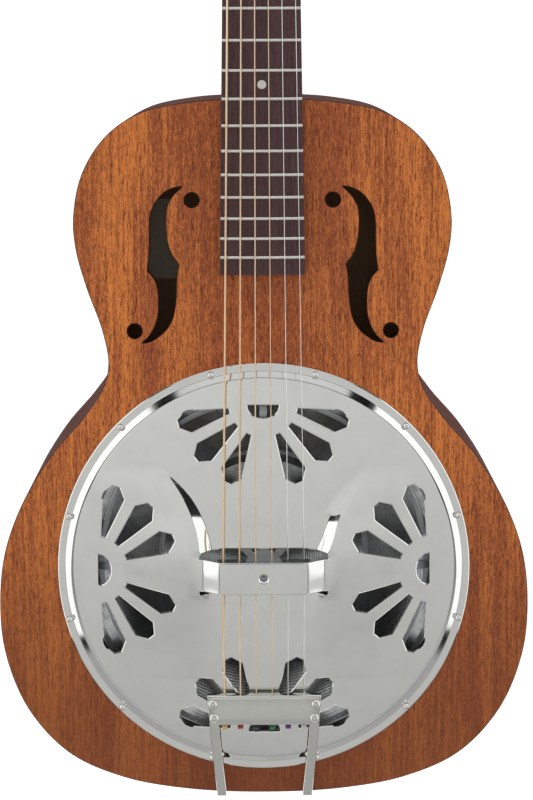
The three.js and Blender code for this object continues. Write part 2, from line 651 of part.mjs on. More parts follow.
// A right-handed thread on a plain shaft, both about +X, with gaps on either side of the gear's tooth.
function tunerWorm(side) {
  const stepsPerTurn = 9;
  const turns = 2.8;
  const rings = [];
  for (let k = 0; k <= stepsPerTurn * turns; k++) {
    const turn = k / stepsPerTurn - turns / 2;
    const angle = (turn - 0.5) * 2 * Math.PI;
    const x = turn * WORM_PITCH;
    const corner = (radius, along) => v3(x + along, -radius * Math.cos(angle), -radius * Math.sin(angle));
    rings.push([corner(1.5, -0.62), corner(1.5, 0.62), corner(3.45, 0.3), corner(3.45, -0.3)]);
  }
  const shaft = new THREE.CylinderGeometry(SHAFT_RADIUS, SHAFT_RADIUS, SHAFT_REACH + 7.6, 10)
    .rotateZ(Math.PI / 2).translate((side * (SHAFT_REACH - 7.6)) / 2, 0, 0);
  return join(shaft, loft(rings));
}

// An oval button, wider than it is thick, with a collar round the shaft's end.
function tunerButton(side) {
  const oval = turned(BUTTON_PROFILE, 10).rotateY(Math.PI / 2);
  const flatten = new THREE.Matrix4().makeScale(side, 1, 0.5);
  return solid(oval.applyMatrix4(flatten));
}

// ---- Assembly ----

const colours = {
  mahogany: [0xa85e2c, 0.55, 0],
  darkMahogany: [0x6a3f2e, 0.5, 0],
  spruce: [0xc9a877, 0.7, 0],
  plywood: [0xb98d5c, 0.8, 0],
  rosewood: [0x3a2426, 0.5, 0],
  nickel: [0xc9c9c4, 0.2, 1],
  aluminium: [0xb4b7ba, 0.35, 1],
  steel: [0xd0d2d2, 0.3, 1],
  bronze: [0xd0a070, 0.3, 1],
  bone: [0xe9e2cd, 0.5, 0],
  maple: [0xd9b98a, 0.5, 0],
  black: [0x1a1816, 0.4, 0],
};
const materials = Object.fromEntries(
  Object.entries(colours).map(([name, [color, roughness, metalness]]) => [
    name, new THREE.MeshStandardMaterial({ color, roughness, metalness }),
  ]),
);

const guitar = new THREE.Group();

function add(name, geometry, material, parent = guitar, position = [0, 0, 0]) {
  const mesh = new THREE.Mesh(geometryOf(solid(geometry)), materials[material]);
  mesh.name = name;
  mesh.position.set(...position);
  parent.add(mesh);
}

function addBody() {
  add("top_board", topBoard(), "mahogany");
  add("back_board", backBoard(), "mahogany");
  add("side_rim", sideRim(), "darkMahogany");
  add("soundwell_ring", soundwell(), "plywood");
  add("neck_block", neckBlock(), "spruce");
  add("tail_block", tailBlock(), "spruce");
  add("back_brace_upper", backBrace(252, 116), "spruce");
  add("back_brace_lower", backBrace(-64, 168), "spruce");
  add("top_brace", topBrace(263, 112), "spruce");
}

function addResonator() {
  add("resonator_cone", cone(), "aluminium");
  add("spider_bridge", spider(), "aluminium");
  add("saddle_bass", saddle(-1), "maple");
  add("saddle_treble", saddle(1), "maple");
  add("tension_screw", tensionScrew(), "steel");
  add("cover_plate", coverPlate(), "nickel");
}

function addTailpiece() {
  add("tailpiece_plate", tailpiecePlate(), "nickel");
  add("tailpiece_strap_bass", tailpieceStrap(-1), "nickel");
  add("tailpiece_strap_treble", tailpieceStrap(1), "nickel");
  add("tail_bracket", tailBracket(), "nickel");
  add("end_pin", endPin(), "nickel");
}

function addNeck(head) {
  add("neck", neck(), "darkMahogany");
  add("truss_rod", trussRod(), "steel");
  add("fretboard", fretboard(), "rosewood");
  add("nut", nut(), "bone");
  add("headstock_veneer", headVeneer(), "rosewood", head);
  add("truss_rod_cover", rodCover(), "black", head);
}

function addTuners(head) {
  add("tuner_plate_bass", tunerPlate(-1), "nickel", head);
  add("tuner_plate_treble", tunerPlate(1), "nickel", head);
  for (let i = 0; i < 6; i++) {
    const { side, x, y } = postOf(i);
    const string = 6 - i;
    const axis = [x, y + WORM_OFFSET, WORM_LEVEL];
    const shaftEnd = [x + side * SHAFT_REACH, axis[1], axis[2]];
    add(`tuner_post_${string}`, tunerPost(), "nickel", head, [x, y, 0]);
    add(`tuner_gear_${string}`, tunerGear(), "bronze", head, [x, y, 0]);
    add(`tuner_worm_${string}`, tunerWorm(side), "nickel", head, axis);
    add(`tuner_button_${string}`, tunerButton(side), "nickel", head, shaftEnd);
  }
}

function addStrings() {
  for (let i = 0; i < 6; i++) {
    add(`string_${6 - i}`, guitarString(i), i < 4 ? "bronze" : "steel");
  }
}

const headstock = new THREE.Group();
headMatrix.decompose(headstock.position, headstock.quaternion, headstock.scale);
guitar.add(headstock);
addBody();
addResonator();
addTailpiece();
addNeck(headstock);
addTuners(headstock);
addStrings();

export default guitar;
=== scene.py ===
from math import copysign, cos, hypot, pi, radians, sin

import bpy
import numpy as np
from mathutils import Matrix, Vector, geometry
from numpy.linalg import norm


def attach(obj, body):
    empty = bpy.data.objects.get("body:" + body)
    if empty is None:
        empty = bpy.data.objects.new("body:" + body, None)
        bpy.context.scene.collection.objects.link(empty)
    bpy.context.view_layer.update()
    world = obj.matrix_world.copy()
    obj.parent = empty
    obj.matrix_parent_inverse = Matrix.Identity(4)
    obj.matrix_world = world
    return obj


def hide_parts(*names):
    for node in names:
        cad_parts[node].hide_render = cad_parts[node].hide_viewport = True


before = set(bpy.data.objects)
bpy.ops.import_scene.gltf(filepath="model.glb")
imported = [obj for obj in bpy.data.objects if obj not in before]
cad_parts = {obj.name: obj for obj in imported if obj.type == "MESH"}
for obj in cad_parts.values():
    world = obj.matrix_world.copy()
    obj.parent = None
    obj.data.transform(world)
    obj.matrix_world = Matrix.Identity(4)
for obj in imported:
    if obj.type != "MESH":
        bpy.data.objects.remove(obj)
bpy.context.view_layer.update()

# ---- Sizes shared with the CAD model ----

MM = 0.001
SCALE_LENGTH = 635
TOP_FACE = 92
TOP_UNDER = 87.5
BACK_THICKNESS = 4
SIDE_THICKNESS = 3.5
WELL_RADIUS = 134
NECK_JOINT = SCALE_LENGTH / 2
NUT_WIDTH = 46
JOINT_WIDTH = 54
BOARD_END = 200.3
BOARD_STEP = 316.8
BOARD_THICKNESS = 6
BOARD_RISE = 6.5
BOARD_SLOPE = 7.1 / NECK_JOINT
BOARD_RADIUS = 305
FRETS = 19
DOT_FRETS = (3, 5, 7, 9, 12)
STRING_RISE = 18.2
NUT_RISE = 1.7
HEAD_PITCH = 0.267
HEAD_THICKNESS = 14.5
STRING_DIAMETERS = [1.35, 1.07, 0.81, 0.61, 0.46, 0.4]
WOUND_STRINGS = 4
NUT_SPREAD = 39
SADDLE_SPREAD = 54.3
TAIL_SPREAD = 53.5
POSTS = [(23.5, 45), (24.5, 85), (25.5, 125)]
COIL_RADIUS = 2.6
COIL_LEVEL = 9
WORM_OFFSET = 9.3
WORM_LEVEL = -19.4
SHAFT_REACH = 20.5
PIN_HEIGHT = 46

HALF_BODY = [
    (0, -157), (52, -154.5), (96, -146.3), (133, -129.3), (160.5, -99), (175.5, -62),
    (179.3, -28), (175.8, 9), (163.4, 43.5), (142.6, 77.5), (121.3, 102.5), (107.8, 123),
    (104.2, 139), (108, 161), (118.6, 191), (125.4, 216), (127, 238), (120.8, 267.8),
    (104.6, 292.8), (81.8, 308.2), (50, 315.3), (18, 317.5), (0, 317.7),
]
# The treble f-hole's four edges, from the upper tip down the outside and back up the inside.
F_EDGES = [
    [(53.6, 258.7), (60, 257.4), (66.4, 253.8), (71.3, 248.1), (74.5, 241.6), (75.6, 233),
     (75.6, 222), (76, 212), (77.3, 202.1)],
    [(77.3, 202.1), (73.6, 198.2), (70.7, 191.6), (69.7, 182.6), (70.1, 172.7), (72.7, 163.7),
     (76.8, 157.1), (81.3, 153)],
    [(81.3, 153), (75.9, 154.2), (70.2, 157.5), (64.5, 162.9), (60.9, 169.4), (58.9, 178.5),
     (58.2, 187.5), (57.8, 197.4), (56.3, 206.2)],
    [(56.3, 206.2), (60.6, 212.1), (63.5, 219.5), (64.9, 229), (65.1, 238), (64, 245.5),
     (61.1, 251), (57, 255.9), (53.6, 258.7)],
]
F_DOTS = [(47.25, 249.6), (86.2, 161.2)]
F_DOT_RADIUS = 4.9
LABEL_BOX = (-92, -58, 184, 242)  # from and to, across and along

# The cover plate: a dome, a rolled step and a flat flange.
COVER_RADIUS = 139.4
DOME = {"top": 10.8, "edge": 4.85, "at": 122, "power": 2.2}
STEP = {"from": 129.5, "to": 134.9, "low": 1.1, "bend": 0.9}
SHEET = 0.9
# A punched edge in section: how far off the flat, how far down, and its tilt in degrees.
PUNCHED = [
    (0, 0, 0), (0.14, 0.02, 20), (0.22, 0.06, 31), (0.7, 0.36, 34), (0.79, 0.5, 80), (0.8, 0.9, 90),
]
# The top's round edge in the same form, for a radius of 1.
TOP_EDGE = 1.2
ROUNDED = [(0, 0, 0), (0.5, 0.134, 30), (0.866, 0.5, 60), (1, 1, 90), (1, 3.75, 90)]
EDGE = PUNCHED[-1][0]
FAN_RADIUS = 114
FAN_ANGLES = [14.7, 40.2, 65.7]
PETAL = [(23.6, 1.6), (51.9, 7.4), (58.8, 2.4)]
MOON = {"half": 10.6, "flat": 111.9, "round": 103}
# The two slots beside the hand rest: half their width, and where they begin and end along the strings.
OPENING_HALF = 43
HEAD_SLOT = (9.8, 15.4)
TAIL_SLOT = (-15.4, -11.7)
# The hand rest: its height in the middle and at its feet, half its flat part, and its hollow to the tail.
REST = {"top": 24, "foot": 17.0, "flat": 28.3, "fall": 13.5, "hollow": 0.0047}
# How high the mounds beside the hand rest stand over the dome, at places along the strings.
MOUND_RISE = [
    (-75, 0), (-50, 1.3), (-30, 3.2), (-14, 5.0), (0, 6.4), (8, 6.8), (14, 6.7), (22, 5.9), (30, 4.8),
    (34, 4.1), (38, 3.5), (42, 3.1), (54, 2.0), (60, 1.2), (68, 0), (76, 0),
]
# The steep walls of the mounds at the head side: where along the strings they begin and end, how far out
# their foot and crest begin and how far these run out, and how much further out the treble wall lies.
WALL = {"from": 14, "to": 72, "length": 46, "foot": 33.5, "crest": 43.4, "crest_run": 17, "treble": 3}
TREBLE_SOFT = 36.5  # where along the strings the treble wall turns gentle
TAIL_WALL = {"inner": 31, "outer": 50, "narrows": 14, "over": 66}
MOUND_REACH = 74  # from the crest out to where a mound has faded
REST_HOLE = {"y": -0.9, "radius": 2.65, "bevel": 1.1, "sink": 0.8}
STAMPED = (82, 80)  # half the part of the sheet that is stamped, across and along
SHEET_SEAM = 120  # radius where the slotted sheet's mesh meets the plain ring's
RING_SIDES = 360
COVER_SCREWS = {"count": 12, "first": 15, "circle": 136.3}

CONE_PROFILE = [
    (0, 78), (12, 77), (64, 56.6), (70, 57), (112, 79.6), (118, 80.6), (121.5, 83), (133.2, 83),
]

# The folded plate that the strings hang from, and the straps that hold it, as (x, y, height over the top).
TAIL_DECK = {
    "front": -83.3, "rear": -103.4, "half_front": 38.2, "half_rear": 36.8, "top": 15.6, "sheet": 1.6,
}
RIVETS = [(34.6, -89.3), (33.7, -98.7)]
BALL_Y = -105.6  # where the strings' ball ends sit
STRAP_LINE = [
    (33.7, -88, 13), (33.7, -104, 13), (29.2, -155.6, 2.6), (29.2, -157.9, 1.5), (29.2, -158.6, -1),
    (29.2, -158.6, -35.7),
]

# The neck in section, as (y, depth under the fretboard, how pinched its back is).
NECK_SECTIONS = [
    (317.1, 83, 0.35), (321, 82.5, 0.35), (328, 76, 0.4), (336, 56, 0.4), (345, 36, 0.25), (358, 24, 0.1),
    (378, 18.2, 0), (480, 17, 0), (600, 15.6, 0), (630, 15.4, 0), (643, 15.2, 0),
]
HALF_HEAD = [
    (23, 0), (23.8, 4), (27.5, 15), (33.5, 27), (34.6, 45), (35.6, 80), (37.2, 120), (39, 155), (38.2, 169),
    (31.5, 175.5), (20, 178.5), (9, 183), (0, 180),
]

# How fine each part of a wood's figure is, per millimetre across, along and down.
RIBBON = (0.04, 0.02, 0.04)
STREAK = (0.42, 0.06, 0.42)
FLECK = (1.3, 1.4, 1.3)
PORE = (1.8, 0.6, 1.8)
ALONG = (1.0, 0.2, 1.0)
ROUND = (0.12, 0.12, 1.0)

FLOOR_HALF = 6.0
FLOOR_LEVEL = -0.0005
# What stands round the object, in three rows one above another: (degrees from +X, brightness).
LOW_ROW = [
    (-180, 1.3), (-143.5, 1.3), (-142.5, 0.01), (-139.5, 0.01), (-138, 0.43), (-44, 0.43), (-40, 0.01),
    (-36.5, 0.01), (-35, 1.25), (42.5, 1.3), (43.5, 0.01), (54, 0.01), (55, 0.74), (125, 0.74),
    (126, 0.01), (136, 0.01), (137, 1.3), (180, 1.3),
]
MIDDLE_ROW = [
    (-180, 1.3), (-161, 1.3), (-159, 0.68), (-135, 0.52), (-50, 0.45), (-34, 0.62), (-21, 0.68),
    (-19, 1.25), (43, 1.3), (45, 0.02), (54, 0.02), (56, 0.66), (124, 0.66), (126, 0.02),
    (135, 0.02), (137, 1.3), (180, 1.3),
]
HIGH_ROW = [
    (-180, 0.02), (-178, 0.02), (-172, 0.2), (-140, 0.3), (-135, 0.5), (-45, 0.5), (-40, 0.3),
    (-12, 0.2), (-10, 0.02), (50, 0.02), (60, 0.05), (120, 0.05), (150, 0.1), (160, 0.15),
    (166, 0.02), (180, 0.02),
]


# ---- Meshes ----


def add_piece(name, points, faces, *materials, body="guitar", replaces=None, normals=None, sharp=35,
              matrix=None, others=()):
    """A mesh piece from points in millimetres, riding on a body.

    others lists, for each material after the first, the faces that take it.
    """
    points = np.asarray(points, dtype=float)
    if matrix is not None:
        points = points @ np.array(matrix.to_3x3()).T + np.array(matrix.translation)
    mesh = bpy.data.meshes.new(name)
    mesh.from_pydata((points * MM).tolist(), [], [tuple(int(i) for i in f) for f in faces])
    for material in materials:
        mesh.materials.append(material)
    for place, chosen in enumerate(others):
        for index in chosen:
            mesh.polygons[index].material_index = place + 1
    mesh.shade_smooth()
    if normals is not None:
        mesh.normals_split_custom_set_from_vertices([tuple(n) for n in normals])
    elif sharp is not None:
        mesh.set_sharp_from_angle(angle=radians(sharp))
    mesh.update()
    piece = bpy.data.objects.new(name, mesh)
    bpy.context.scene.collection.objects.link(piece)
    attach(piece, body)
    if replaces:
        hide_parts(replaces)


def joined(*parts):
    """Several (points, faces) as one."""
    points, faces, count = [], [], 0
    for part_points, part_faces in parts:
        points.append(np.asarray(part_points, dtype=float).reshape(-1, 3))
        faces += [tuple(i + count for i in face) for face in part_faces]
        count += len(points[-1])
    return np.vstack(points), faces


def bands(rings, count):
    """The four-sided faces between rings that have the same number of points."""
    made = []
    for start in range(0, (rings - 1) * count, count):
        for j in range(count):
            a, b = start + j, start + (j + 1) % count
            made.append((a, b, b + count, a + count))
    return made


def loft(rings, caps=True):
    """A skin through rings that have the same number of points."""
    count = len(rings[0])
    faces = bands(len(rings), count)
    if caps:
        faces.append(tuple(reversed(range(count))))
        faces.append(tuple(range((len(rings) - 1) * count, len(rings) * count)))
    return np.vstack([np.asarray(r, dtype=float) for r in rings]), faces


def lathe(profile, sides=48, centre=(0, 0, 0)):
    """A profile of (radius, height), listed upwards on its outside, turned about +Z."""
    return loft([lifted(circle(r, sides), height) + np.array(centre) for r, height in profile])


def corner_curve(before, corner, after, room_before, room_after, steps):
    """Points on a curve that rounds one corner."""
    a = corner + (before - corner) / norm(before - corner) * room_before
    b = corner + (after - corner) / norm(after - corner) * room_after
    return [tuple((1 - t) ** 2 * a + 2 * t * (1 - t) * corner + t**2 * b) for t in np.linspace(0, 1, steps)]


def rounded(profile, radius, steps=4):
    """The profile with each inner corner rounded."""
    line = np.array(profile, dtype=float)
    made = [profile[0]]
    for before, corner, after in zip(line, line[1:], line[2:]):
        room = min(radius, norm(before - corner) / 2.1, norm(after - corner) / 2.1)
        made += corner_curve(before, corner, after, room, room, steps)
    return [*made, profile[-1]]


def smooth(points, per_step, closed=False):
    """A centripetal Catmull-Rom curve through the points, by Barry and Goldman's pyramid."""
    points = np.array(points, dtype=float)
    if closed:
        padded = np.vstack([points[-1:], points, points[:2]])
    else:
        padded = np.vstack([2 * points[0] - points[1], points, 2 * points[-1] - points[-2]])
    made = []
    for four in (padded[k : k + 4] for k in range(len(padded) - 3)):
        gaps = np.maximum(norm(np.diff(four, axis=0), axis=1) ** 0.5, 1e-6)
        knots = np.concatenate([[0], np.cumsum(gaps)])
        for x in knots[1] + np.arange(per_step) / per_step * gaps[1]:
            level = four
            for ends in (((0, 1), (1, 2), (2, 3)), ((0, 2), (1, 3)), ((1, 2),)):
                level = [(a * (knots[j] - x) + b * (x - knots[i])) / (knots[j] - knots[i])
                         for a, b, (i, j) in zip(level, level[1:], ends)]
            made.append(level[0])
    return np.array(made if closed else [*made, points[-1]])


def spaced(points, step):
    """A closed polygon's points at an even step."""
    ring = np.vstack([points, points[:1]])
    lengths = np.concatenate([[0], np.cumsum(norm(np.diff(ring, axis=0), axis=1))])
    count = max(int(round(lengths[-1] / step)), 3)
    at = np.arange(count) * lengths[-1] / count
    return np.column_stack([np.interp(at, lengths, ring[:, k]) for k in range(2)])


def divided(points, step):
    """A closed polygon with points added along its edges, its corners kept."""
    made = []
    for a, b in zip(points, np.roll(points, -1, axis=0)):
        count = max(int(round(norm(b - a) / step)), 1)
        made += [a + (b - a) * k / count for k in range(count)]
    return np.array(made)


def neighbours(outline):
    """Each corner of a closed outline with the one before it and the one after."""
    return zip(np.roll(outline, 1, axis=0), outline, np.roll(outline, -1, axis=0))


def inset(outline, distance):
    """A counter-clockwise outline drawn in by a distance."""
    along = np.roll(outline, -1, axis=0) - np.roll(outline, 1, axis=0)
    along /= norm(along, axis=1)[:, None]
    return outline + distance * np.column_stack([-along[:, 1], along[:, 0]])


def circle(radius, sides, x=0.0, y=0.0):
    angles = 2 * pi * np.arange(sides) / sides
    return np.column_stack([x + radius * np.cos(angles), y + radius * np.sin(angles)])


def lifted(outline, height):
    """A flat outline at a height."""
    return np.column_stack([outline, np.full(len(outline), height)])


def turned(outline, degrees):
    turn = radians(degrees)
    c, s = cos(turn), sin(turn)
    return outline @ np.array([[c, s], [-s, c]])


def mirrored(outline):
    return (outline * np.array([-1, 1]))[::-1]


def counter_clockwise(outline):
    x, y = outline[:, 0], outline[:, 1]
    twice_area = np.sum(x * np.roll(y, -1) - np.roll(x, -1) * y)
    return outline[::-1] if twice_area < 0 else outline


def inside(outline, points):
    """Which points lie in a polygon."""
    result = np.zeros(len(points), dtype=bool)
    x, y = points[:, 0], points[:, 1]
    for (x0, y0), (x1, y1) in zip(outline, np.roll(outline, -1, axis=0)):
        crosses = (y0 > y) != (y1 > y)
        if y0 != y1:
            result ^= crosses & (x < (x1 - x0) * (y - y0) / (y1 - y0) + x0)
    return result


def triangulate(outer, holes, extra=np.zeros((0, 2))):
    """Points and triangles of a flat sheet with holes, through any extra points."""
    loops = [outer, *holes]
    edges, start = [], 0
    for loop in loops:
        edges += [(start + k, start + (k + 1) % len(loop)) for k in range(len(loop))]
        start += len(loop)
    flat = np.vstack([*loops, extra])
    made = geometry.delaunay_2d_cdt([Vector(p) for p in flat], edges, [], 0, 1e-5)
    points = np.array([tuple(p) for p in made[0]])
    faces = np.array([tuple(f) for f in made[2]])
    centres = points[faces].mean(axis=1)
    keep = inside(outer, centres)
    for hole in holes:
        keep &= ~inside(hole, centres)
    return points, faces[keep]


def rims(points, faces):
    """The sheet's border corners, and at each the flat direction that points off the sheet."""
    sides = dict.fromkeys((int(a), int(b)) for face in faces for a, b in zip(face, np.roll(face, -1)))
    border = [(a, b) for a, b in sides if (b, a) not in sides]
    away = {}
    for a, b in border:
        along = points[b] - points[a]
        along = along / max(norm(along), 1e-9)
        for corner in (a, b):
            away[corner] = away.get(corner, np.zeros(2)) + np.array([along[1], -along[0]])
    for corner, way in away.items():
        away[corner] = way / max(norm(way), 1e-9)
    return border, away


def sheet_mesh(flat, faces, height, thickness, edge, has_edge=lambda point: True):
    """A sheet whose top follows height(x, y), with an underside, and edges of that section.

    Edges are made at the border corners that has_edge accepts. Returns points, faces and normals.
    """
    x, y = flat[:, 0], flat[:, 1]
    step = 0.05
    slope = np.column_stack([
        (height(x + step, y) - height(x - step, y)) / (2 * step),
        (height(x, y + step) - height(x, y - step)) / (2 * step),
    ])
    up = np.column_stack([-slope, np.ones(len(flat))])
    up /= norm(up, axis=1)[:, None]
    top = np.column_stack([flat, height(x, y)])
    count = len(top)
    points = [top, top - up * thickness]
    normals = [up, -up]
    all_faces = [tuple(f) for f in faces] + [tuple(reversed([i + count for i in f])) for f in faces]
    border, away = rims(flat, faces)
    border = [(a, b) for a, b in border if has_edge(flat[a])]
    corners = sorted({c for pair in border for c in pair})
    place = {c: k for k, c in enumerate(corners)}
    ways = np.array([(*away[c], 0.0) for c in corners]).reshape(-1, 3)
    ups = up[corners]
    for out, down, degrees in edge:
        turn = radians(degrees)
        points.append(top[corners] + ways * out - ups * down)
        normals.append(ups * cos(turn) + ways * sin(turn))
    for a, b in border:
        for ring in range(len(edge) - 1):
            lower = 2 * count + ring * len(corners)
            upper = lower + len(corners)
            all_faces.append((lower + place[a], upper + place[a], upper + place[b], lower + place[b]))
    return np.vstack(points), all_faces, np.vstack(normals)


def tube(path, radius, sides):
    """A round bar along a path."""
    path = np.asarray(path, dtype=float)
    rings = []
    side = None
    for k, point in enumerate(path):
        along = path[min(k + 1, len(path) - 1)] - path[max(k - 1, 0)]
        along /= norm(along)
        if side is None:
            side = np.cross(along, [0, 0, 1.0])
        side = side - along * np.dot(side, along)
        side /= norm(side)
        over = np.cross(side, along)
        angles = 2 * pi * np.arange(sides) / sides
        rings.append(point + radius * (np.outer(np.cos(angles), side) - np.outer(np.sin(angles), over)))
    return loft(rings)


def prism(outline, low, high, edge=0.8, steps=3):
    """An upright prism of a counter-clockwise outline, its edges rounded."""
    turns = np.linspace(pi / 2, 0, steps + 1)
    corner = [(edge - edge * sin(t), edge - edge * cos(t)) for t in turns]
    levels = [(low + up, drawn) for up, drawn in corner]
    levels += [(high - up, drawn) for up, drawn in corner[::-1]]
    return loft([lifted(inset(outline, drawn), height) for height, drawn in levels])


def slab_box(x0, x1, y0, y1, z0, z1, edge=0.3):
    """A block with rounded upright and level edges."""
    corners = [(x1, y0), (x1, y1), (x0, y1), (x0, y0)]
    outline = []
    for k, (x, y) in enumerate(corners):
        cx, cy = x - copysign(edge, x - (x0 + x1) / 2), y - copysign(edge, y - (y0 + y1) / 2)
        for t in np.linspace(-pi / 2 + k * pi / 2, k * pi / 2, 4):
            outline.append((cx + edge * cos(t), cy + edge * sin(t)))
    return prism(np.array(outline), z0, z1, edge)


# ---- Where things are ----


def board_surface(y):
    return TOP_FACE + BOARD_RISE - (y - NECK_JOINT) * BOARD_SLOPE


def glue_plane(y):
    return board_surface(y) - BOARD_THICKNESS


def board_half(y):
    return (JOINT_WIDTH - (JOINT_WIDTH - NUT_WIDTH) * (y - NECK_JOINT) / NECK_JOINT) / 2


def camber(x):
    return x * x / (2 * BOARD_RADIUS)


def string_x(i, spread):
    return (i - 2.5) / 5 * spread


def saddle_height(i):
    return TOP_FACE + STRING_RISE + STRING_DIAMETERS[i] / 2 - camber(string_x(i, SADDLE_SPREAD))


def nut_height(i):
    middle = board_surface(SCALE_LENGTH) + NUT_RISE + STRING_DIAMETERS[i] / 2
    return middle - camber(string_x(i, NUT_SPREAD))


def placed(x, y, z, degrees, axis):
    return Matrix.Translation((x, y, z)) @ Matrix.Rotation(radians(degrees), 4, axis)


HEAD_FOOT = Matrix.Translation((0, SCALE_LENGTH + 5, glue_plane(SCALE_LENGTH + 5)))
HEAD = HEAD_FOOT @ Matrix.Rotation(-HEAD_PITCH, 4, "X")


def on_head(x, y, z):
    return np.array(HEAD @ Vector((x, y, z)))


def post_of(i):
    """Side and place of the post that string i, counted from the bass, runs to."""
    side = -1 if i < 3 else 1
    x, y = POSTS[i if i < 3 else 5 - i]
    return side, side * x, y


# ---- Materials ----


class Graph:
    """A node tree under construction."""

    def __init__(self, tree):
        self.tree = tree
        tree.nodes.clear()

    def feed(self, socket, value):
        if isinstance(value, bpy.types.NodeSocket):
            self.tree.links.new(value, socket)
        else:
            socket.default_value = value

    def node(self, kind, inputs=None, **settings):
        made = self.tree.nodes.new("ShaderNode" + kind)
        for key, value in settings.items():
            setattr(made, key, value)
        for key, value in (inputs or {}).items():
            self.feed(made.inputs[key], value)
        return made

    def place(self, scale=(1, 1, 1)):
        """The object's own coordinates in millimetres, stretched."""
        source = self.node("TexCoord").outputs["Object"]
        size = tuple(s / MM for s in scale)
        return self.node("Mapping", {"Vector": source, "Scale": size}).outputs[0]

    def noise(self, vector, scale=1.0, detail=2.0, roughness=0.5, distortion=0.0):
        inputs = {"Vector": vector, "Scale": scale, "Detail": detail, "Roughness": roughness,
                  "Distortion": distortion}
        return self.node("TexNoise", inputs).outputs[0]

    def math(self, operation, a, b=0.0, c=0.0, clamp=False):
        return self.node("Math", {0: a, 1: b, 2: c}, operation=operation, use_clamp=clamp).outputs[0]

    def span(self, value, low, high, start=0.0, end=1.0):
        inputs = {"Value": value, "From Min": low, "From Max": high, "To Min": start, "To Max": end}
        return self.node("MapRange", inputs, interpolation_type="SMOOTHSTEP").outputs[0]

    def mix(self, factor, a, b):
        made = self.node("Mix", data_type="RGBA")
        for index, value in ((0, factor), (6, a), (7, b)):
            self.feed(made.inputs[index], value)
        return made.outputs[2]

    def ramp(self, value, stops):
        """Colours at stops, the first of them at 0 and the last at 1."""
        made = self.node("ValToRGB", {"Fac": value})
        elements = made.color_ramp.elements
        elements[0].color = stops[0][1]
        elements[1].color = stops[-1][1]
        for position, colour in stops[1:-1]:
            elements.new(position).color = colour
        return made.outputs[0]

    def bump(self, height, strength, distance):
        inputs = {"Height": height, "Strength": strength, "Distance": distance * MM}
        return self.node("Bump", inputs).outputs[0]


def rgb(r, g, b):
    return (r, g, b, 1.0)


def darker(colour, share):
    return rgb(*(share * c for c in colour[:3]))


def new_material(name):
    material = bpy.data.materials.new(name)
    material.use_nodes = True
    return material, Graph(material.node_tree)


def finish_material(graph, colour, roughness, more):
    shader = graph.node("BsdfPrincipled", {"Base Color": colour, "Roughness": roughness, **more})
    output = graph.node("OutputMaterial")
    graph.tree.links.new(shader.outputs[0], output.inputs[0])


def wood(name, light, dark, pore, stretch, roughness, pores=0.5, gloss=0.3, painted_shade=None, middle=0.0):
    """Wood whose grain runs along the axis that stretch makes long.

    The painted shade is given as ((y where it starts, y where it is full), strength, colour) and darkens
    the wood towards the tail, and middle paints shade that darkens the boards towards the centre line.
    """
    material, g = new_material(name)

    def grain(weights, detail, bent):
        return g.noise(g.place([s * w for s, w in zip(stretch, weights)]), 1.0, detail, 0.62, bent)

    streak = grain(STREAK, 4, 0.3)
    tone = g.math("ADD", g.math("MULTIPLY", grain(RIBBON, 2, 0.5), 0.45), g.math("MULTIPLY", streak, 0.55))
    tone = g.span(tone, 0.38, 0.64)
    xyz = g.node("SeparateXYZ", {0: g.place()}).outputs
    # Painted shade: the boards are made darker towards the centre line.
    if middle:
        wide = g.math("ABSOLUTE", xyz[0])
        tone = g.math("ADD", tone, g.span(wide, 90, 25, 0.0, middle), clamp=True)
    base = g.mix(g.math("MULTIPLY", tone, 0.5), light, dark)
    low = g.math("MULTIPLY_ADD", tone, -0.09, 0.545)
    blotch = g.span(grain(FLECK, 5, 1.2), low, g.math("ADD", low, 0.05))
    base = g.mix(g.math("MULTIPLY", blotch, g.math("MULTIPLY_ADD", tone, 0.15, 0.55)), base, dark)
    fine = grain(PORE, 2, 0.3)
    base = g.mix(g.span(fine, 0.54, 0.64, 0.0, pores), base, pore)
    # Painted shade: the wood is made darker towards the tail.
    if painted_shade is not None:
        base = g.mix(g.span(xyz[1], *painted_shade[0], 0.0, painted_shade[1]), base, painted_shade[2])
    normal = g.bump(fine, 0.2, 0.06)
    rough = g.span(fine, 0.3, 0.7, roughness, roughness + 0.12)
    finish_material(g, base, rough, {"Normal": normal, "Specular IOR Level": gloss})
    return material


def metal(name, colour, roughness, smudge, brush=None):
    """Bare or plated metal with faint smudges, and fine brushing if brush gives its stretch."""
    material, g = new_material(name)
    cloud = g.noise(g.place((0.05, 0.05, 0.05)), 1.0, 4, 0.6, 0.4)
    fine = g.noise(g.place(brush or (0.8, 0.8, 0.8)), 1.0, 3, 0.6)
    rough = g.math("ADD", g.span(cloud, 0.3, 0.7, roughness, roughness + smudge),
                   g.span(fine, 0.3, 0.7, 0.0, smudge * 0.5))
    tint = g.mix(g.span(cloud, 0.35, 0.75, 0.0, 0.5), colour, darker(colour, 0.9))
    normal = g.bump(fine, 0.12 if brush else 0.004, 0.02)
    finish_material(g, tint, rough, {"Metallic": 1.0, "Normal": normal})
    return material


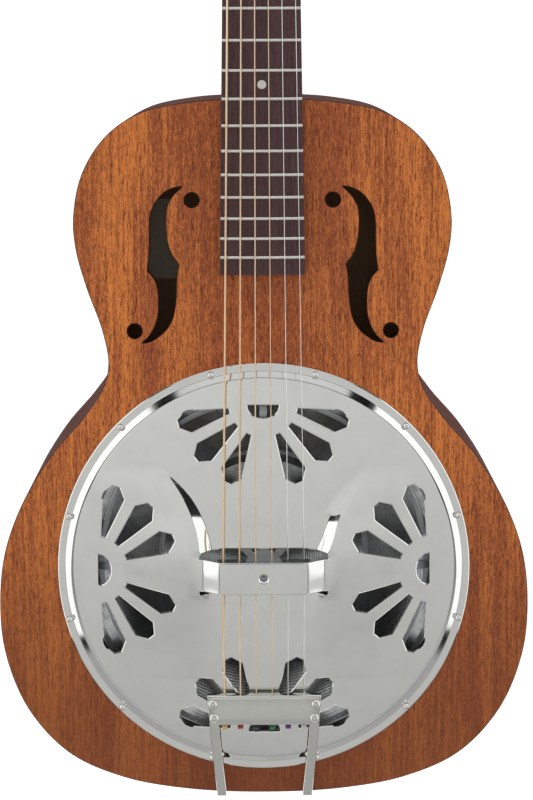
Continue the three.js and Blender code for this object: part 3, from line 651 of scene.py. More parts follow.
def turned_metal(name, colour, roughness, bends):
    """Metal turned on a lathe about +Z: fine rings, and streaks that fan out from the middle, a painted
    highlight in its colour and roughness.

    bends lists the radii of its folds, where the colour is lightened towards white as a painted highlight
    and the surface is rougher.
    """
    material, g = new_material(name)
    xyz = g.node("SeparateXYZ", {0: g.place()}).outputs
    radius = g.math("SQRT", g.math("ADD", g.math("MULTIPLY", xyz[0], xyz[0]),
                                   g.math("MULTIPLY", xyz[1], xyz[1])))
    angle = g.math("ARCTAN2", xyz[1], xyz[0])
    polar = g.node("CombineXYZ", {0: g.math("MULTIPLY", radius, 0.06), 1: g.math("MULTIPLY", angle, 14.0)})
    streak = g.noise(polar.outputs[0], 1.0, 3, 0.6)
    rings = g.math("SINE", g.math("MULTIPLY", radius, 6.28 / 1.3))
    # Painted highlight: the fanned streaks darken and lighten the colour, standing for the streaked
    # highlights of turned metal.
    tint = g.mix(g.span(streak, 0.3, 0.7), colour, darker(colour, 0.75))
    normal = g.bump(rings, 0.05, 0.03)
    rough = g.span(streak, 0.3, 0.7, roughness, roughness + 0.08)
    # Painted highlight: each fold's colour is lightened towards white; its roughness is raised too.
    for bend in bends:
        near = g.span(g.math("ABSOLUTE", g.math("SUBTRACT", radius, bend)), 2.6, 0.8)
        tint = g.mix(near, tint, rgb(0.95, 0.97, 1.0))
        rough = g.math("MAXIMUM", rough, g.math("MULTIPLY", near, 0.75))
    finish_material(g, tint, rough, {"Metallic": 1.0, "Normal": normal})
    return material


def plain_finish(name, colour, other, roughness, scale=0.4, bump=0.05, coat=0.0, metallic=0.0):
    """A mottled, hardly textured finish, such as bone, plastic, lacquer or paper."""
    material, g = new_material(name)
    cloud = g.noise(g.place((scale, scale, scale)), 1.0, 4, 0.6)
    tint = g.mix(g.span(cloud, 0.35, 0.7), colour, other)
    rough = g.span(cloud, 0.3, 0.7, roughness, roughness + 0.1)
    normal = g.bump(cloud, bump, 0.1)
    finish_material(g, tint, rough, {"Normal": normal, "Coat Weight": coat, "Metallic": metallic})
    return material


def wound_string():
    """Bronze wire wound about a core: fine ridges along the string."""
    material, g = new_material("wound_bronze")
    along = g.node("SeparateXYZ", {0: g.place()}).outputs[1]
    ridges = g.math("SINE", g.math("MULTIPLY", along, 6.28 / 0.28))
    cloud = g.noise(g.place((0.3, 0.03, 0.3)), 1.0, 2)
    tint = g.mix(g.span(cloud, 0.35, 0.7), rgb(1.0, 0.8, 0.56), rgb(0.98, 0.7, 0.44))
    finish_material(g, tint, 0.35, {"Metallic": 0.7, "Normal": g.bump(ridges, 0.6, 0.05)})
    return material


# The top's mahogany, with painted shade darker towards the tail and towards the centre line.
MAHOGANY = wood("mahogany_top", rgb(0.92, 0.285, 0.062), rgb(0.24, 0.045, 0.025), rgb(0.07, 0.016, 0.016),
                ALONG, 0.45, 0.7, 0.22, ((120, -150), 0.7, rgb(0.2, 0.055, 0.022)), 0.65)
DARK_MAHOGANY = wood("mahogany_dark", rgb(0.22, 0.085, 0.055), rgb(0.12, 0.045, 0.032),
                     rgb(0.05, 0.022, 0.018), ALONG, 0.45, 0.5)
# Painted shade: the sides' mahogany is made far darker than the top's, so the upright sides look shaded.
SHADED_SIDE_MAHOGANY = wood("mahogany_side_shaded", rgb(0.1, 0.03, 0.021), rgb(0.06, 0.02, 0.015),
                     rgb(0.03, 0.012, 0.01), ROUND, 0.65, 0.4, 0.02)
# Painted shade: a near-black wood for the upright edge of the top, standing for the shadow in the seam
# between top and sides.
SEAM_SHADE = wood("painted_seam_shade", rgb(0.05, 0.018, 0.012), rgb(0.03, 0.012, 0.01),
                  rgb(0.02, 0.01, 0.01), ROUND, 0.55, 0.4, 0.08)
INNER_WOOD = wood("inner_wood", rgb(0.42, 0.27, 0.14), rgb(0.32, 0.19, 0.09), rgb(0.16, 0.09, 0.05),
                  ALONG, 0.7, 0.4)
PALE_WOOD = wood("pale_wood", rgb(0.5, 0.3, 0.17), rgb(0.42, 0.23, 0.12), rgb(0.28, 0.15, 0.08),
                 ALONG, 0.7, 0.3)
ROSEWOOD = wood("rosewood", rgb(0.105, 0.048, 0.05), rgb(0.055, 0.024, 0.029), rgb(0.018, 0.009, 0.011),
                (1.6, 0.07, 1.6), 0.45, 0.6)
MAPLE = wood("maple", rgb(0.55, 0.38, 0.2), rgb(0.46, 0.3, 0.15), rgb(0.3, 0.18, 0.09), ALONG, 0.5, 0.2)
NICKEL = metal("nickel_plate", rgb(0.785, 0.79, 0.765), 0.05, 0.04)
HARDWARE = metal("nickel_hardware", rgb(0.68, 0.68, 0.64), 0.15, 0.05)
STEEL = metal("plain_steel", rgb(0.97, 0.97, 0.94), 0.34, 0.06)
BRASS = metal("gear_brass", rgb(0.72, 0.5, 0.24), 0.3, 0.1)
CAST = metal("cast_aluminium", rgb(0.66, 0.69, 0.72), 0.42, 0.12, (0.5, 0.5, 0.5))
TURNED = turned_metal("turned_aluminium", rgb(0.6, 0.62, 0.62), 0.2, (71, 111))
FRET_WIRE = metal("fret_wire", rgb(0.82, 0.81, 0.76), 0.2, 0.08, (4.0, 0.2, 1.0))
BRONZE = wound_string()
BONE = plain_finish("bone", rgb(0.76, 0.7, 0.56), rgb(0.66, 0.58, 0.43), 0.35, 0.4, 0.05, 0.3)
PEARL = plain_finish("pearl", rgb(0.78, 0.76, 0.68), rgb(0.58, 0.62, 0.6), 0.2, 0.9, 0.05, 0.6)
BLACK = plain_finish("black_plastic", rgb(0.012, 0.012, 0.012), rgb(0.02, 0.019, 0.018), 0.3, 0.5,
                     0.04, 0.2)
LABEL = plain_finish("label_paper", rgb(0.82, 0.74, 0.58), rgb(0.76, 0.68, 0.52), 0.85, 0.15, 0.1)
# The lacquer colour of each string's ball end, from the bass string up.
BALL_COLOURS = [
    ("brass", rgb(0.75, 0.5, 0.16)), ("red", rgb(0.45, 0.03, 0.02)), ("black", rgb(0.015, 0.015, 0.017)),
    ("green", rgb(0.02, 0.2, 0.06)), ("purple", rgb(0.16, 0.04, 0.26)), ("silver", rgb(0.7, 0.7, 0.68)),
]


# ---- The camera, the light and the floor ----


def add_camera():
    camera = bpy.data.cameras.new("camera")
    camera.lens = 75.477
    camera.shift_x, camera.shift_y = 0.0062, -0.3386
    holder = bpy.data.objects.new("camera", camera)
    holder.location = (0, 0.36113, 1.21057)
    holder.rotation_euler = [radians(degrees) for degrees in (-3.2783, 0, -0.2387)]
    bpy.context.scene.collection.objects.link(holder)
    bpy.context.scene.camera = holder


def azimuth_ramp(g, turn, stops):
    """A row of cards round the object, read by the direction's turn."""
    return g.ramp(turn, [((degrees + 180) / 360, rgb(v, v, v)) for degrees, v in stops])


def add_world():
    """A studio without walls: soft light overhead, and white and dark cards round the object."""
    world = bpy.data.worlds.new("studio")
    bpy.context.scene.world = world
    world.use_nodes = True
    g = Graph(world.node_tree)
    way = g.node("SeparateXYZ", {0: g.node("TexCoord").outputs["Generated"]}).outputs
    turn = g.math("MULTIPLY_ADD", g.math("ARCTAN2", way[1], way[0]), 1 / (2 * pi), 0.5)
    low, middle, high = (azimuth_ramp(g, turn, row) for row in (LOW_ROW, MIDDLE_ROW, HIGH_ROW))
    over = g.mix(g.span(way[1], -0.75, 0.1), rgb(0.5, 0.5, 0.495), rgb(0.74, 0.745, 0.735))
    over = g.mix(g.span(way[0], -0.5, 0.6, 0.0, 0.35), over, rgb(0.55, 0.55, 0.54))
    aside = g.math("MULTIPLY", g.math("ABSOLUTE", way[0]), 0.13)
    level = g.math("SUBTRACT", g.math("MULTIPLY_ADD", way[1], -0.36, way[2]), aside)
    window = g.math("MULTIPLY", g.span(way[1], 0.3, 0.5), g.span(way[2], 0.45, 0.35))
    low = g.mix(window, low, rgb(1.2, 1.2, 1.15))
    colour = g.mix(g.span(level, 0.375, 0.39), low, middle)
    colour = g.mix(g.span(way[2], 0.66, 0.68), colour, high)
    colour = g.mix(g.span(way[2], 0.79, 0.83), colour, over)
    background = g.node("Background", {"Color": colour, "Strength": 1.0})
    output = g.node("OutputWorld")
    g.tree.links.new(background.outputs[0], output.inputs[0])


def add_floor():
    material, g = new_material("floor")
    cloud = g.noise(g.place((0.004, 0.004, 0.004)), 1.0, 3)
    tint = g.mix(g.span(cloud, 0.3, 0.7), rgb(0.93, 0.93, 0.93), rgb(0.9, 0.9, 0.9))
    finish_material(g, tint, 0.9, {"Emission Color": rgb(1, 1, 1), "Emission Strength": 0.8})
    mesh = bpy.data.meshes.new("floor")
    corners = [(-FLOOR_HALF, -FLOOR_HALF), (FLOOR_HALF, -FLOOR_HALF), (FLOOR_HALF, FLOOR_HALF),
               (-FLOOR_HALF, FLOOR_HALF)]
    mesh.from_pydata([(x, y, FLOOR_LEVEL) for x, y in corners], [], [(0, 1, 2, 3)])
    mesh.materials.append(material)
    floor = bpy.data.objects.new("floor", mesh)
    bpy.context.scene.collection.objects.link(floor)


# ---- The body ----

BODY = spaced(smooth(HALF_BODY[:-1] + [(-x, y) for x, y in HALF_BODY[:0:-1]], 12, True), 2.0)


def f_hole():
    """The treble f-hole's outline."""
    return counter_clockwise(np.vstack([smooth(edge, 4)[:-1] for edge in F_EDGES]))


def top_height(x, y):
    return np.full(len(x), float(TOP_FACE))


def add_top():
    """The top, the upright part of its edges painted dark as the shade in the seam with the sides, and its
    underside pale.
    """
    right = [f_hole(), *(circle(F_DOT_RADIUS, 40, x, y) for x, y in F_DOTS)]
    holes = [circle(WELL_RADIUS, 120), *right, *(mirrored(h) for h in right)]
    holes = [inset(hole, -TOP_EDGE) for hole in holes]
    flat, faces = triangulate(inset(BODY, TOP_EDGE), holes)
    edge = [(TOP_EDGE * out, TOP_EDGE * down, tilt) for out, down, tilt in ROUNDED]
    points, all_faces, normals = sheet_mesh(flat, faces, top_height, TOP_FACE - TOP_UNDER, edge)
    heights = TOP_FACE - points[:, 2]
    # Painted shade: the faces of the top's upright edge, below its rounding, take the dark seam wood.
    seam_shade_faces = [k for k, f in enumerate(all_faces)
               if k >= 2 * len(faces) and heights[list(f)].max() > 0.5]
    under = range(len(faces), 2 * len(faces))
    add_piece("top_panel", points, all_faces, MAHOGANY, SEAM_SHADE, PALE_WOOD,
              replaces="top_board", normals=normals, others=[seam_shade_faces, under])


def add_back_and_sides():
    points, faces = prism(BODY, 0, BACK_THICKNESS, 1.6, 4)
    add_piece("back_panel", points, faces, MAHOGANY, PALE_WOOD, SHADED_SIDE_MAHOGANY,
              replaces="back_board", others=[[len(faces) - 1], range(len(faces) - 2)])
    inner = inset(BODY, SIDE_THICKNESS)
    rings = [lifted(BODY, BACK_THICKNESS), lifted(BODY, TOP_UNDER), lifted(inner, TOP_UNDER),
             lifted(inner, BACK_THICKNESS)]
    points, faces = loft([*rings, rings[0]], caps=False)
    inner_faces = range(2 * len(BODY), 3 * len(BODY))
    add_piece("side_band", points, faces, SHADED_SIDE_MAHOGANY, PALE_WOOD,
              replaces="side_rim", others=[inner_faces])


def add_label():
    points, faces = slab_box(*LABEL_BOX, BACK_THICKNESS + 0.05, BACK_THICKNESS + 0.25, 0.1)
    add_piece("inner_label", points, faces, LABEL)


# ---- The cover plate ----

RISE_LINE = smooth(MOUND_RISE, 8)


def rolled(x, width, first, last):
    """A straight slope from 0 to 1 over a width, with a round bend of its own length at each end."""
    x = np.clip(x, 0, width)
    into = np.minimum(x, first) ** 2 / (2 * first)
    straight = np.clip(x - first, 0, width - first - last)
    out = np.clip(x - (width - last), 0, last)
    return (into + straight + out - out**2 / (2 * last)) / (width - (first + last) / 2)


def ease(t):
    t = np.clip(t, 0, 1)
    return t * t * (3 - 2 * t)


def dome(radius):
    """The cover's height over the top, without its stamped mounds: dome, step and flange."""
    def crown(r):
        return DOME["top"] - (DOME["top"] - DOME["edge"]) * (r / DOME["at"]) ** DOME["power"]

    fall = rolled(radius - STEP["from"], STEP["to"] - STEP["from"], STEP["bend"], STEP["bend"])
    high = crown(STEP["from"])
    return np.where(radius > STEP["from"], high - (high - STEP["low"]) * fall, crown(radius))


def wall_lines(side, y):
    """How far out the foot and the crest of the head side's walls lie."""
    reach = np.clip(y, WALL["from"], WALL["to"])
    share = (reach - WALL["from"]) / WALL["length"]
    treble = WALL["treble"] * np.where(np.asarray(side) > 0, ease((reach - 10) / 16), 0)
    crest = WALL["crest"] + WALL["crest_run"] * share**1.8 + treble
    foot = WALL["foot"] + 10.1 * share + 13.4 * share**3.2 + treble
    return np.minimum(foot, crest - 2), crest


def mound(x, y):
    """How far the stamped mounds beside the hand rest stand over the dome."""
    wide = np.abs(x)
    foot, crest = wall_lines(x, y)
    width = crest - foot
    sharp = rolled(wide - foot, width, width * 0.2, width * 0.06)
    gentle = rolled(wide - foot + 4, width + 8, width * 0.7, width * 0.6)
    soft = ease((y - TREBLE_SOFT) / 3.5) * (x > 0)
    start = TAIL_WALL["inner"] - TAIL_WALL["narrows"] * np.clip(-y / TAIL_WALL["over"], 0, 1)
    tail_wall = ease((wide - start) / (TAIL_WALL["outer"] - start))
    tail = ease(-y / 14)
    wall = (sharp * (1 - soft) + gentle * soft) * (1 - tail) + tail_wall * tail
    rise = np.interp(y, RISE_LINE[:, 0], RISE_LINE[:, 1])
    rise = rise * (1 - 0.1 * ease((y - 30) / 4) * (x > 0))
    beyond = np.clip((wide - crest - 6 * ease(-y / 40)) / MOUND_REACH, 0, 1)
    fade = 0.5 * (1 + np.cos(pi * beyond))
    return wall * rise * fade


def cover_height(x, y):
    """The height of the cover's upper face, hand rest included."""
    wide = np.abs(x)
    low = dome(np.hypot(x, y)) + mound(x, y)
    arch = REST["top"] - (REST["top"] - REST["foot"]) * rolled(wide - REST["flat"], REST["fall"], 2.0, 2.0)
    arch = arch - REST["hollow"] * (y + 1) ** 2 * ease((wide - 22) / 20)
    near = ease((7 - np.maximum(y - HEAD_SLOT[0], TAIL_SLOT[1] - y)) / 7)
    inner = (y < HEAD_SLOT[0] + 1) & (y > TAIL_SLOT[1] - 1)
    opening = OPENING_HALF - 0.5
    share = np.where(wide < opening, np.where(inner, 1.0, 0.0), near) * (1 - ease((wide - opening) / 9))
    hole = np.hypot(x, y - REST_HOLE["y"])
    sink = REST_HOLE["sink"] * np.clip(1 - (hole - REST_HOLE["radius"]) / REST_HOLE["bevel"], 0, 1) ** 1.3
    return TOP_FACE + low * (1 - share) + arch * share - np.where(inner & (wide < 20), sink, 0)


def fan_shapes():
    """The slots of the fan at the head end."""
    moon = [(MOON["half"] * cos(t), MOON["flat"] - (MOON["flat"] - MOON["round"]) * sin(t))
            for t in np.linspace(0, pi, 25)]
    shapes = [np.array(moon)]
    petal = np.array([*PETAL, *[(u, -w) for u, w in reversed(PETAL)]])
    for degrees in [s for a in FAN_ANGLES for s in (-a, a - 180)]:
        shapes.append(turned(petal, degrees) + np.array([0, FAN_RADIUS]))
    return [divided(soft_corners(grown(counter_clockwise(shape), EDGE), 0.35), 1.3) for shape in shapes]


def grown(outline, distance):
    """A counter-clockwise polygon whose edges are moved out, its corners kept sharp."""
    made = []
    for before, corner, after in neighbours(outline):
        a = (corner - before) / norm(corner - before)
        b = (after - corner) / norm(after - corner)
        away = np.array([a[1] + b[1], -a[0] - b[0]])
        made.append(corner + distance * away * 2 / np.dot(away, away))
    return np.array(made)


def soft_corners(outline, radius):
    """A polygon whose corners are cut round."""
    made = []
    for before, corner, after in neighbours(outline):
        room_before = min(radius, norm(before - corner) / 2.2)
        room_after = min(radius, norm(after - corner) / 2.2)
        made += corner_curve(before, corner, after, room_before, room_after, 5)
    return np.array(made)


def cover_holes():
    """The fans' slots, the two slots beside the hand rest, and its screw hole."""
    holes = []
    for quarter in range(4):
        holes += [turned(shape, 90 * quarter) for shape in fan_shapes()]
    (low, high), x = HEAD_SLOT, OPENING_HALF
    head = np.array([(x, low), (x, low + 1.6), (x - 1.2, low + 3.6), (26.5, high)])
    low, high = TAIL_SLOT
    tail = np.array([(x - 8.5, low + 1.3), (x - 4.5, low + 0.4), (x - 1.5, low), (x, low + 0.8), (x, high)])
    for half in (head, tail):
        slot = grown(np.vstack([half, mirrored(half)]), EDGE)
        holes.append(divided(soft_corners(slot, 1.0), 1.0))
    holes.append(circle(REST_HOLE["radius"] + 0.1, 28, 0, REST_HOLE["y"]))
    return holes


def grid(half_x, half_y, step):
    x, y = np.meshgrid(np.arange(-half_x, half_x + 0.1, step), np.arange(-half_y, half_y + 0.1, step))
    return np.column_stack([x.ravel(), y.ravel()])


def cover_grid(holes):
    """Corners inside the plate, closer together where it is stamped."""
    fine, coarse = grid(*STAMPED, 1.25), grid(SHEET_SEAM, SHEET_SEAM, 3.2)
    coarse = coarse[(np.abs(coarse) > np.array(STAMPED) + 1).any(axis=1)]
    rings = [circle(r, 36, 0, REST_HOLE["y"]) for r in (3.1, 3.6, 4.2)]
    y = np.arange(16.2, 72, 0.9)
    rows = []
    for side in (-1, 1):
        foot, crest = wall_lines(side, y)
        for share in (-0.12, 0, 0.06, 0.13, 0.2, 0.35, 0.5, 0.7, 0.86, 0.94, 1, 1.12):
            rows.append(np.column_stack([side * (foot + (crest - foot) * share), y]))
    near_foot, near_crest = wall_lines(fine[:, 0], fine[:, 1])
    wide = np.abs(fine[:, 0])
    on_wall = (fine[:, 1] > 15.5) & (wide > near_foot - 1.6) & (wide < near_crest + 1.6)
    points = np.vstack([fine[~on_wall], coarse, *rings, *rows])
    near_hole = np.hypot(points[:, 0], points[:, 1] - REST_HOLE["y"])
    keep = (np.hypot(points[:, 0], points[:, 1]) < SHEET_SEAM - 1) & ((near_hole > 4.6) | (near_hole < 4.3))
    for hole in holes:
        keep &= ~inside(inset(hole, -0.5), points)
    return points[keep]


def add_cover():
    holes = cover_holes()
    flat, faces = triangulate(circle(SHEET_SEAM, RING_SIDES), holes, cover_grid(holes))
    part = sheet_mesh(flat, faces, cover_height, SHEET, PUNCHED,
                      lambda point: hypot(*point) < SHEET_SEAM - 1)
    radii = [*np.arange(SHEET_SEAM, 130.1, 2.5), *np.linspace(129.9, 134.9, 21), 136.2, 137.7,
             COVER_RADIUS - EDGE]
    ring_flat = np.vstack([circle(r, RING_SIDES) for r in radii])
    ring_faces = np.array(bands(len(radii), RING_SIDES))[:, [0, 3, 2, 1]]
    ring = sheet_mesh(ring_flat, ring_faces, cover_height, SHEET, PUNCHED,
                      lambda point: hypot(*point) > SHEET_SEAM + 10)
    points, all_faces = joined(part[:2], ring[:2])
    add_piece("cover_dome", points, all_faces, NICKEL, replaces="cover_plate",
              normals=np.vstack([part[2], ring[2]]))


def add_cover_screws():
    profile = rounded([(2.25, 1.2), (2.25, 1.6), (2.0, 2.7), (1.1, 3.5), (0.02, 3.6)], 0.5, 5)
    for k in range(COVER_SCREWS["count"]):
        turn = radians(COVER_SCREWS["first"] + 360 * k / COVER_SCREWS["count"])
        x, y = COVER_SCREWS["circle"] * cos(turn), COVER_SCREWS["circle"] * sin(turn)
        head = lathe(profile, 24, (x, y, TOP_FACE))
        add_piece(f"cover_screw_{k + 1}", *head, NICKEL)


# ---- The resonator ----


def grooved(profile, pitch, depth):
    """A profile cut with a fine thread-like groove."""
    radii, heights = np.array(profile, dtype=float).T
    across = np.arange(0.2, radii[-1], pitch / 4)
    wave = depth * np.sin(2 * pi * across / pitch)
    return list(zip(across, np.interp(across, radii, heights) + wave))


def add_cone():
    upper = grooved(CONE_PROFILE, 1.6, 0.04)
    lower = [(r, z - 0.9) for r, z in upper[::8]]
    points, faces = lathe(lower + upper[::-1], 144)
    add_piece("cone_turned", points, faces, TURNED, replaces="resonator_cone", sharp=None)


# ---- The tailpiece ----

def tail_section():
    """The tailpiece's folded sheet, cut along y: it rolls over and down at the front."""
    d = TAIL_DECK
    top, front, sheet = d["top"], d["front"], d["sheet"]
    outer = [(d["rear"], top - 0.5), (d["rear"] + 0.4, top), (front - 3.4, top), (front - 2.7, top + 0.1),
             (front - 1.2, top - 0.1), (front - 0.3, top - 0.8), (front, top - 2), (front, top - 4.6)]
    inner = [(front - sheet, top - 4.6), (front - sheet, top - sheet - 0.3),
             (front - sheet - 0.6, top - sheet), (d["rear"], top - sheet)]
    return [*smooth(outer, 3), *inner]


def add_tailpiece():
    d = TAIL_DECK
    section = tail_section()
    rings = []
    for t in [-1, -0.985, -0.6, -0.2, 0.2, 0.6, 0.985, 1]:
        ring = []
        for y, h in section:
            share = (y - d["rear"]) / (d["front"] - d["rear"])
            half = d["half_rear"] + (d["half_front"] - d["half_rear"]) * share
            drop = 0.35 if abs(t) == 1 else 0
            ring.append((half * t, y, TOP_FACE + h - drop))
        rings.append(ring)
    points, faces = loft(rings)
    comb = slab_box(-30, 30, -101.6, -100, TOP_FACE + 10.2, TOP_FACE + 15.1, 0.3)
    add_piece("tailpiece_folded", *joined((points, faces), comb), HARDWARE,
              replaces="tailpiece_plate")
    profile = rounded([(3.3, 15.4), (3.3, 15.9), (2.6, 17.1), (1.3, 17.8), (0.02, 17.9)], 0.8)
    for k, (x, y) in enumerate([(s * x, y) for x, y in RIVETS for s in (-1, 1)]):
        head = lathe(profile, 32, (x, y, TOP_FACE))
        add_piece(f"tailpiece_rivet_{k + 1}", *head, HARDWARE)


def add_straps():
    for side, name in ((-1, "bass"), (1, "treble")):
        middle = smooth(STRAP_LINE, 8)
        rings = []
        for k, (x, y, h) in enumerate(middle):
            ahead = middle[min(k + 1, len(middle) - 1)] - middle[max(k - 1, 0)]
            along = np.array([0, ahead[1], ahead[2]]) / max(norm(ahead[1:]), 1e-9)
            over = np.array([0, -along[2], along[1]]) * (-1 if along[1] < 0 else 1)
            ring = []
            for u, v in [(3.2, -0.4), (3.2, 0.4), (2.9, 0.75), (-2.9, 0.75), (-3.2, 0.4), (-3.2, -0.4),
                         (-2.9, -0.75), (2.9, -0.75)]:
                ring.append(np.array([side * x + u, y, TOP_FACE + h]) + over * v)
            rings.append(ring)
        points, faces = loft(rings)
        add_piece(f"strap_{name}", points, faces, HARDWARE,
                  replaces=f"tailpiece_strap_{name}", sharp=40)


def add_end_pin():
    profile = [(3.5, 143), (3.5, 159.7), (7.2, 159.7), (7.2, 161.3), (4.3, 163.6), (4.1, 166), (4.5, 168.6),
               (6.7, 171), (6.7, 172.4), (5.6, 173), (0.02, 173)]
    points, faces = lathe(rounded(profile, 0.5), 40)
    turn = placed(0, 0, PIN_HEIGHT, 90, "X")
    add_piece("strap_pin", points, faces, HARDWARE, replaces="end_pin", matrix=turn)
    head = lathe(rounded([(2.6, 0), (2.6, 0.5), (1.6, 1.2), (0.02, 1.4)], 0.4), 24)
    for name, x in (("bass", -26), ("treble", 26)):
        place = placed(x, -159.3, 52, 90, "X")
        add_piece(f"bracket_screw_{name}", *head, HARDWARE, matrix=place)


# ---- Strings ----


def string_line(i):
    """The corners of a string's path, from its ball end to its post."""
    side, x, y = post_of(i)
    radius = STRING_DIAMETERS[i] / 2
    tangent = x - side * (COIL_RADIUS + radius)
    tail_x, nut_x = string_x(i, TAIL_SPREAD), string_x(i, NUT_SPREAD)
    return [
        (tail_x, BALL_Y, TOP_FACE + 12), (tail_x, -80.3, TOP_FACE + 12.2),
        (string_x(i, SADDLE_SPREAD), 0, saddle_height(i)), (nut_x, SCALE_LENGTH + 0.5, nut_height(i)),
        (nut_x, SCALE_LENGTH + 4.8, nut_height(i) - 0.7), on_head(tangent, y, COIL_LEVEL),
    ]


def add_strings():
    for i in range(6):
        number = 6 - i
        path = np.array(string_line(i))
        fine = []
        for a, b in zip(path, path[1:]):
            fine += [a + (b - a) * t for t in (0, 0.02, 0.98)]
        fine.append(path[-1])
        part = tube(fine, STRING_DIAMETERS[i] / 2, 12)
        material = BRONZE if i < WOUND_STRINGS else STEEL
        add_piece(f"string_wire_{number}", *part, material, replaces=f"string_{number}")
        name, colour = BALL_COLOURS[i]
        lacquer = plain_finish(f"ball_{name}", colour, darker(colour, 0.8), 0.25, 0.8, 0.02, 0.5, 0.6)
        profile = [(1.0, -1.9), (1.85, -1.5), (1.95, -0.8), (1.6, 0), (1.95, 0.8), (1.85, 1.5), (1.0, 1.9)]
        turn = placed(path[0][0], BALL_Y, path[0][2], 90, "Y")
        add_piece(f"ball_end_{number}", *lathe(rounded(profile, 0.3), 24), lacquer, matrix=turn)
        add_coil(i, material)


def add_coil(i, material):
    """The string's turns round its post, which ride with the post."""
    side, x, y = post_of(i)
    radius = STRING_DIAMETERS[i] / 2
    reach = COIL_RADIUS + radius
    turns = 3.2 if i in (0, 5) else 2.7
    path = []
    for t in np.linspace(0, turns * 2 * pi, int(turns * 28)):
        angle = t if side < 0 else pi - t
        level = COIL_LEVEL - (STRING_DIAMETERS[i] + 0.04) * t / (2 * pi)
        path.append((x + reach * cos(angle), y + reach * sin(angle), level))
    points, faces = tube(path, radius, 8)
    add_piece(f"string_coil_{6 - i}", points, faces, material, body=f"post_{6 - i}", matrix=HEAD)


# ---- The neck ----

def neck_ring(y, depth, pinch):
    turns = np.linspace(0, pi, 33)
    across = np.sign(np.cos(turns)) * np.abs(np.cos(turns)) ** (1 + pinch)
    z = glue_plane(y) - depth * np.sin(turns)
    return np.column_stack([board_half(y) * across, np.full(33, y), z])


def add_neck():
    shaft = loft([neck_ring(*row) for row in smooth(NECK_SECTIONS, 8)])
    add_piece("neck_shaft", *shaft, DARK_MAHOGANY, replaces="neck")
    head = prism(head_outline(0), -HEAD_THICKNESS, 0, 1.4, 4)
    add_piece("headstock", *head, DARK_MAHOGANY, matrix=HEAD)


def head_outline(start):
    """The headstock's outline, from a distance past the nut."""
    half = [(HALF_HEAD[0][0], start), *HALF_HEAD[1:]]
    right = smooth(half, 6)
    return counter_clockwise(np.vstack([right, mirrored(right[:-1])]))


def add_veneer():
    points, faces = prism(head_outline(1), 0.1, 1.5, 0.4)
    add_piece("headstock_face", points, faces, ROSEWOOD, replaces="headstock_veneer", matrix=HEAD)


def add_fretboard():
    rings = []
    over_body = [BOARD_END, BOARD_END + 0.3, BOARD_STEP - 0.01, BOARD_STEP]
    for y in [*over_body, *np.arange(330, 634, 24), SCALE_LENGTH]:
        half = board_half(y) - (0.3 if y == BOARD_END else 0)
        low = TOP_FACE if y < BOARD_STEP else glue_plane(y) + 0.05
        top = [(x, y, board_surface(y) - camber(x)) for x in np.linspace(half, -half, 13)]
        edge = [(half, y, top[0][2] - 0.4), *[(x * 0.99, yy, z) for x, yy, z in top],
                (-half, y, top[-1][2] - 0.4)]
        rings.append([(-half, y, low), (half, y, low), *edge])
    points, faces = loft(rings)
    add_piece("fretboard_cambered", points, faces, ROSEWOOD, replaces="fretboard")


def fret_place(n):
    return SCALE_LENGTH * 2 ** (-n / 12)


def add_frets():
    for n in range(1, FRETS + 1):
        y = fret_place(n)
        half = board_half(y) - 0.2
        rings = []
        for x in np.linspace(-half, half, 15):
            end = max(0.0, abs(x) - (half - 0.8)) / 0.8
            height = 1.05 * (1 - 0.55 * end)
            base = board_surface(y) - camber(x)
            arc = [(x, y + 1.1 * cos(t), base - 0.05 + height * sin(t))
                   for t in np.linspace(0, pi, 9)]
            rings.append(arc)
        points, faces = loft(rings)
        add_piece(f"fret_{n:02d}", points, faces, FRET_WIRE, sharp=50)


def add_dots():
    for n in DOT_FRETS:
        y = (fret_place(n) + fret_place(n - 1)) / 2
        disc = lathe([(3, -0.4), (3, 0.02), (2.85, 0.06), (0.02, 0.06)], 36, (0, y, board_surface(y)))
        add_piece(f"marker_{n:02d}", *disc, PEARL)


# ---- Tuners ----


def add_tuners():
    for i in range(6):
        side, x, y = post_of(i)
        number = 6 - i
        post = rounded([(3, WORM_LEVEL + 1.8), (3, 5), (2.6, 7), (2.55, 10.5), (2.6, 14), (3, 16), (3, 19),
                        (2.2, 20), (0.02, 20)], 0.5)
        add_piece(f"post_turned_{number}", *lathe(post, 32, (x, y, 0)), HARDWARE, body=f"post_{number}",
                  replaces=f"tuner_post_{number}", matrix=HEAD)
        ferrule = rounded([(5.6, 1.5), (5.6, 2.0), (4.6, 2.9), (3.2, 3.1), (3.2, 1.5)], 0.4)
        add_piece(f"ferrule_{number}", *lathe(ferrule, 36, (x, y, 0)), HARDWARE, matrix=HEAD)
        add_button(side, x, y, number)


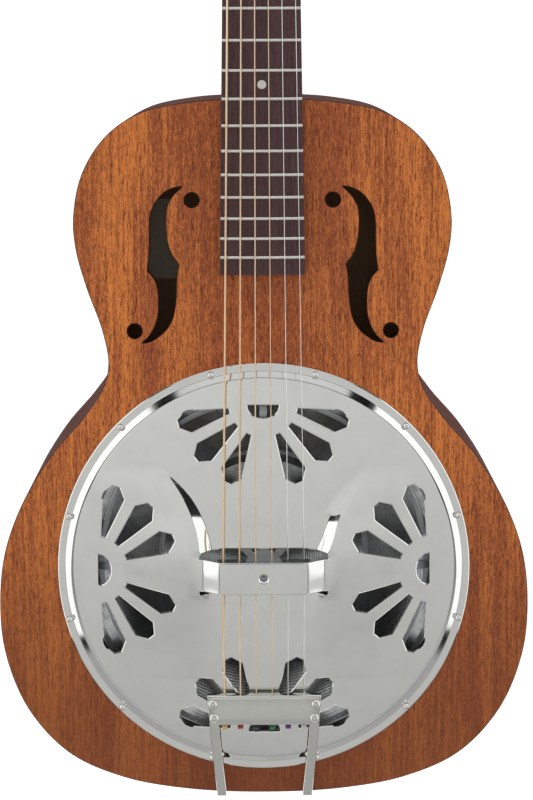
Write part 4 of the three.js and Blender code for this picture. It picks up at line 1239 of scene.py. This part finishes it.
def add_button(side, x, y, number):
    profile = [(3, 0.3), (3, 3.2), (3.6, 4.2), (6.2, 5.8), (7.9, 9), (8.2, 12), (7.3, 16), (5, 18.6),
               (2, 19.5), (0.02, 19.6)]
    points, faces = lathe(smooth(profile, 4), 40)
    turn = Matrix.Rotation(side * pi / 2, 4, "Y")
    flat = Matrix.Diagonal((1, 1, 0.5, 1))
    place = Matrix.Translation((x + side * SHAFT_REACH, y + WORM_OFFSET, WORM_LEVEL))
    add_piece(f"button_oval_{number}", points, faces, HARDWARE, body=f"knob_{number}",
              replaces=f"tuner_button_{number}", matrix=HEAD @ place @ flat @ turn)


def add_plate_screws():
    profile = rounded([(1.9, 0), (1.9, 0.5), (1.1, 1.1), (0.02, 1.3)], 0.3)
    places = [(side * 19.5, y) for side in (-1, 1) for y in (36, 66, 106, 138)]
    for count, (x, y) in enumerate(places):
        place = placed(x, y, -HEAD_THICKNESS - 1.2, 180, "X")
        add_piece(f"tuner_screw_{count + 1}", *lathe(profile, 20), HARDWARE, matrix=HEAD @ place)


# ---- CAD nodes that stay ----

INNER_PIECES = [
    "soundwell_ring", "neck_block", "tail_block", "back_brace_upper", "back_brace_lower", "top_brace",
]
# For each node: its material, and the width of the bevel on its edges.
KEPT = {
    "spider_bridge": (CAST, 0.5), "saddle_bass": (MAPLE, 0.25), "saddle_treble": (MAPLE, 0.25),
    "tension_screw": (HARDWARE, 0), "tail_bracket": (HARDWARE, 0.4), "truss_rod": (STEEL, 0),
    "nut": (BONE, 0.3), "truss_rod_cover": (BLACK, 0.4), "tuner_plate_bass": (HARDWARE, 0.3),
    "tuner_plate_treble": (HARDWARE, 0.3), **{name: (INNER_WOOD, 0) for name in INNER_PIECES},
    **{f"tuner_gear_{number}": (BRASS, 0) for number in range(1, 7)},
    **{f"tuner_worm_{number}": (HARDWARE, 0) for number in range(1, 7)},
}


def dress_kept():
    for name, (material, width) in KEPT.items():
        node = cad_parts[name]
        for slot in node.material_slots:
            slot.material = material
        if width:
            bevel = node.modifiers.new("soft_edges", "BEVEL")
            bevel.width = width * MM
            bevel.segments = 2
            bevel.limit_method = "ANGLE"
            bevel.angle_limit = radians(35)


# ---- The whole ----


STEPS = [
    add_camera, add_world, add_floor, add_top, add_back_and_sides, add_label, add_cover, add_cover_screws,
    add_cone, add_tailpiece, add_straps, add_end_pin, add_strings, add_neck, add_veneer, add_fretboard,
    add_frets, add_dots, add_tuners, add_plate_screws, dress_kept,
]


def build():
    for step in STEPS:
        step()
    bpy.context.scene.view_settings.view_transform = "Standard"


build()
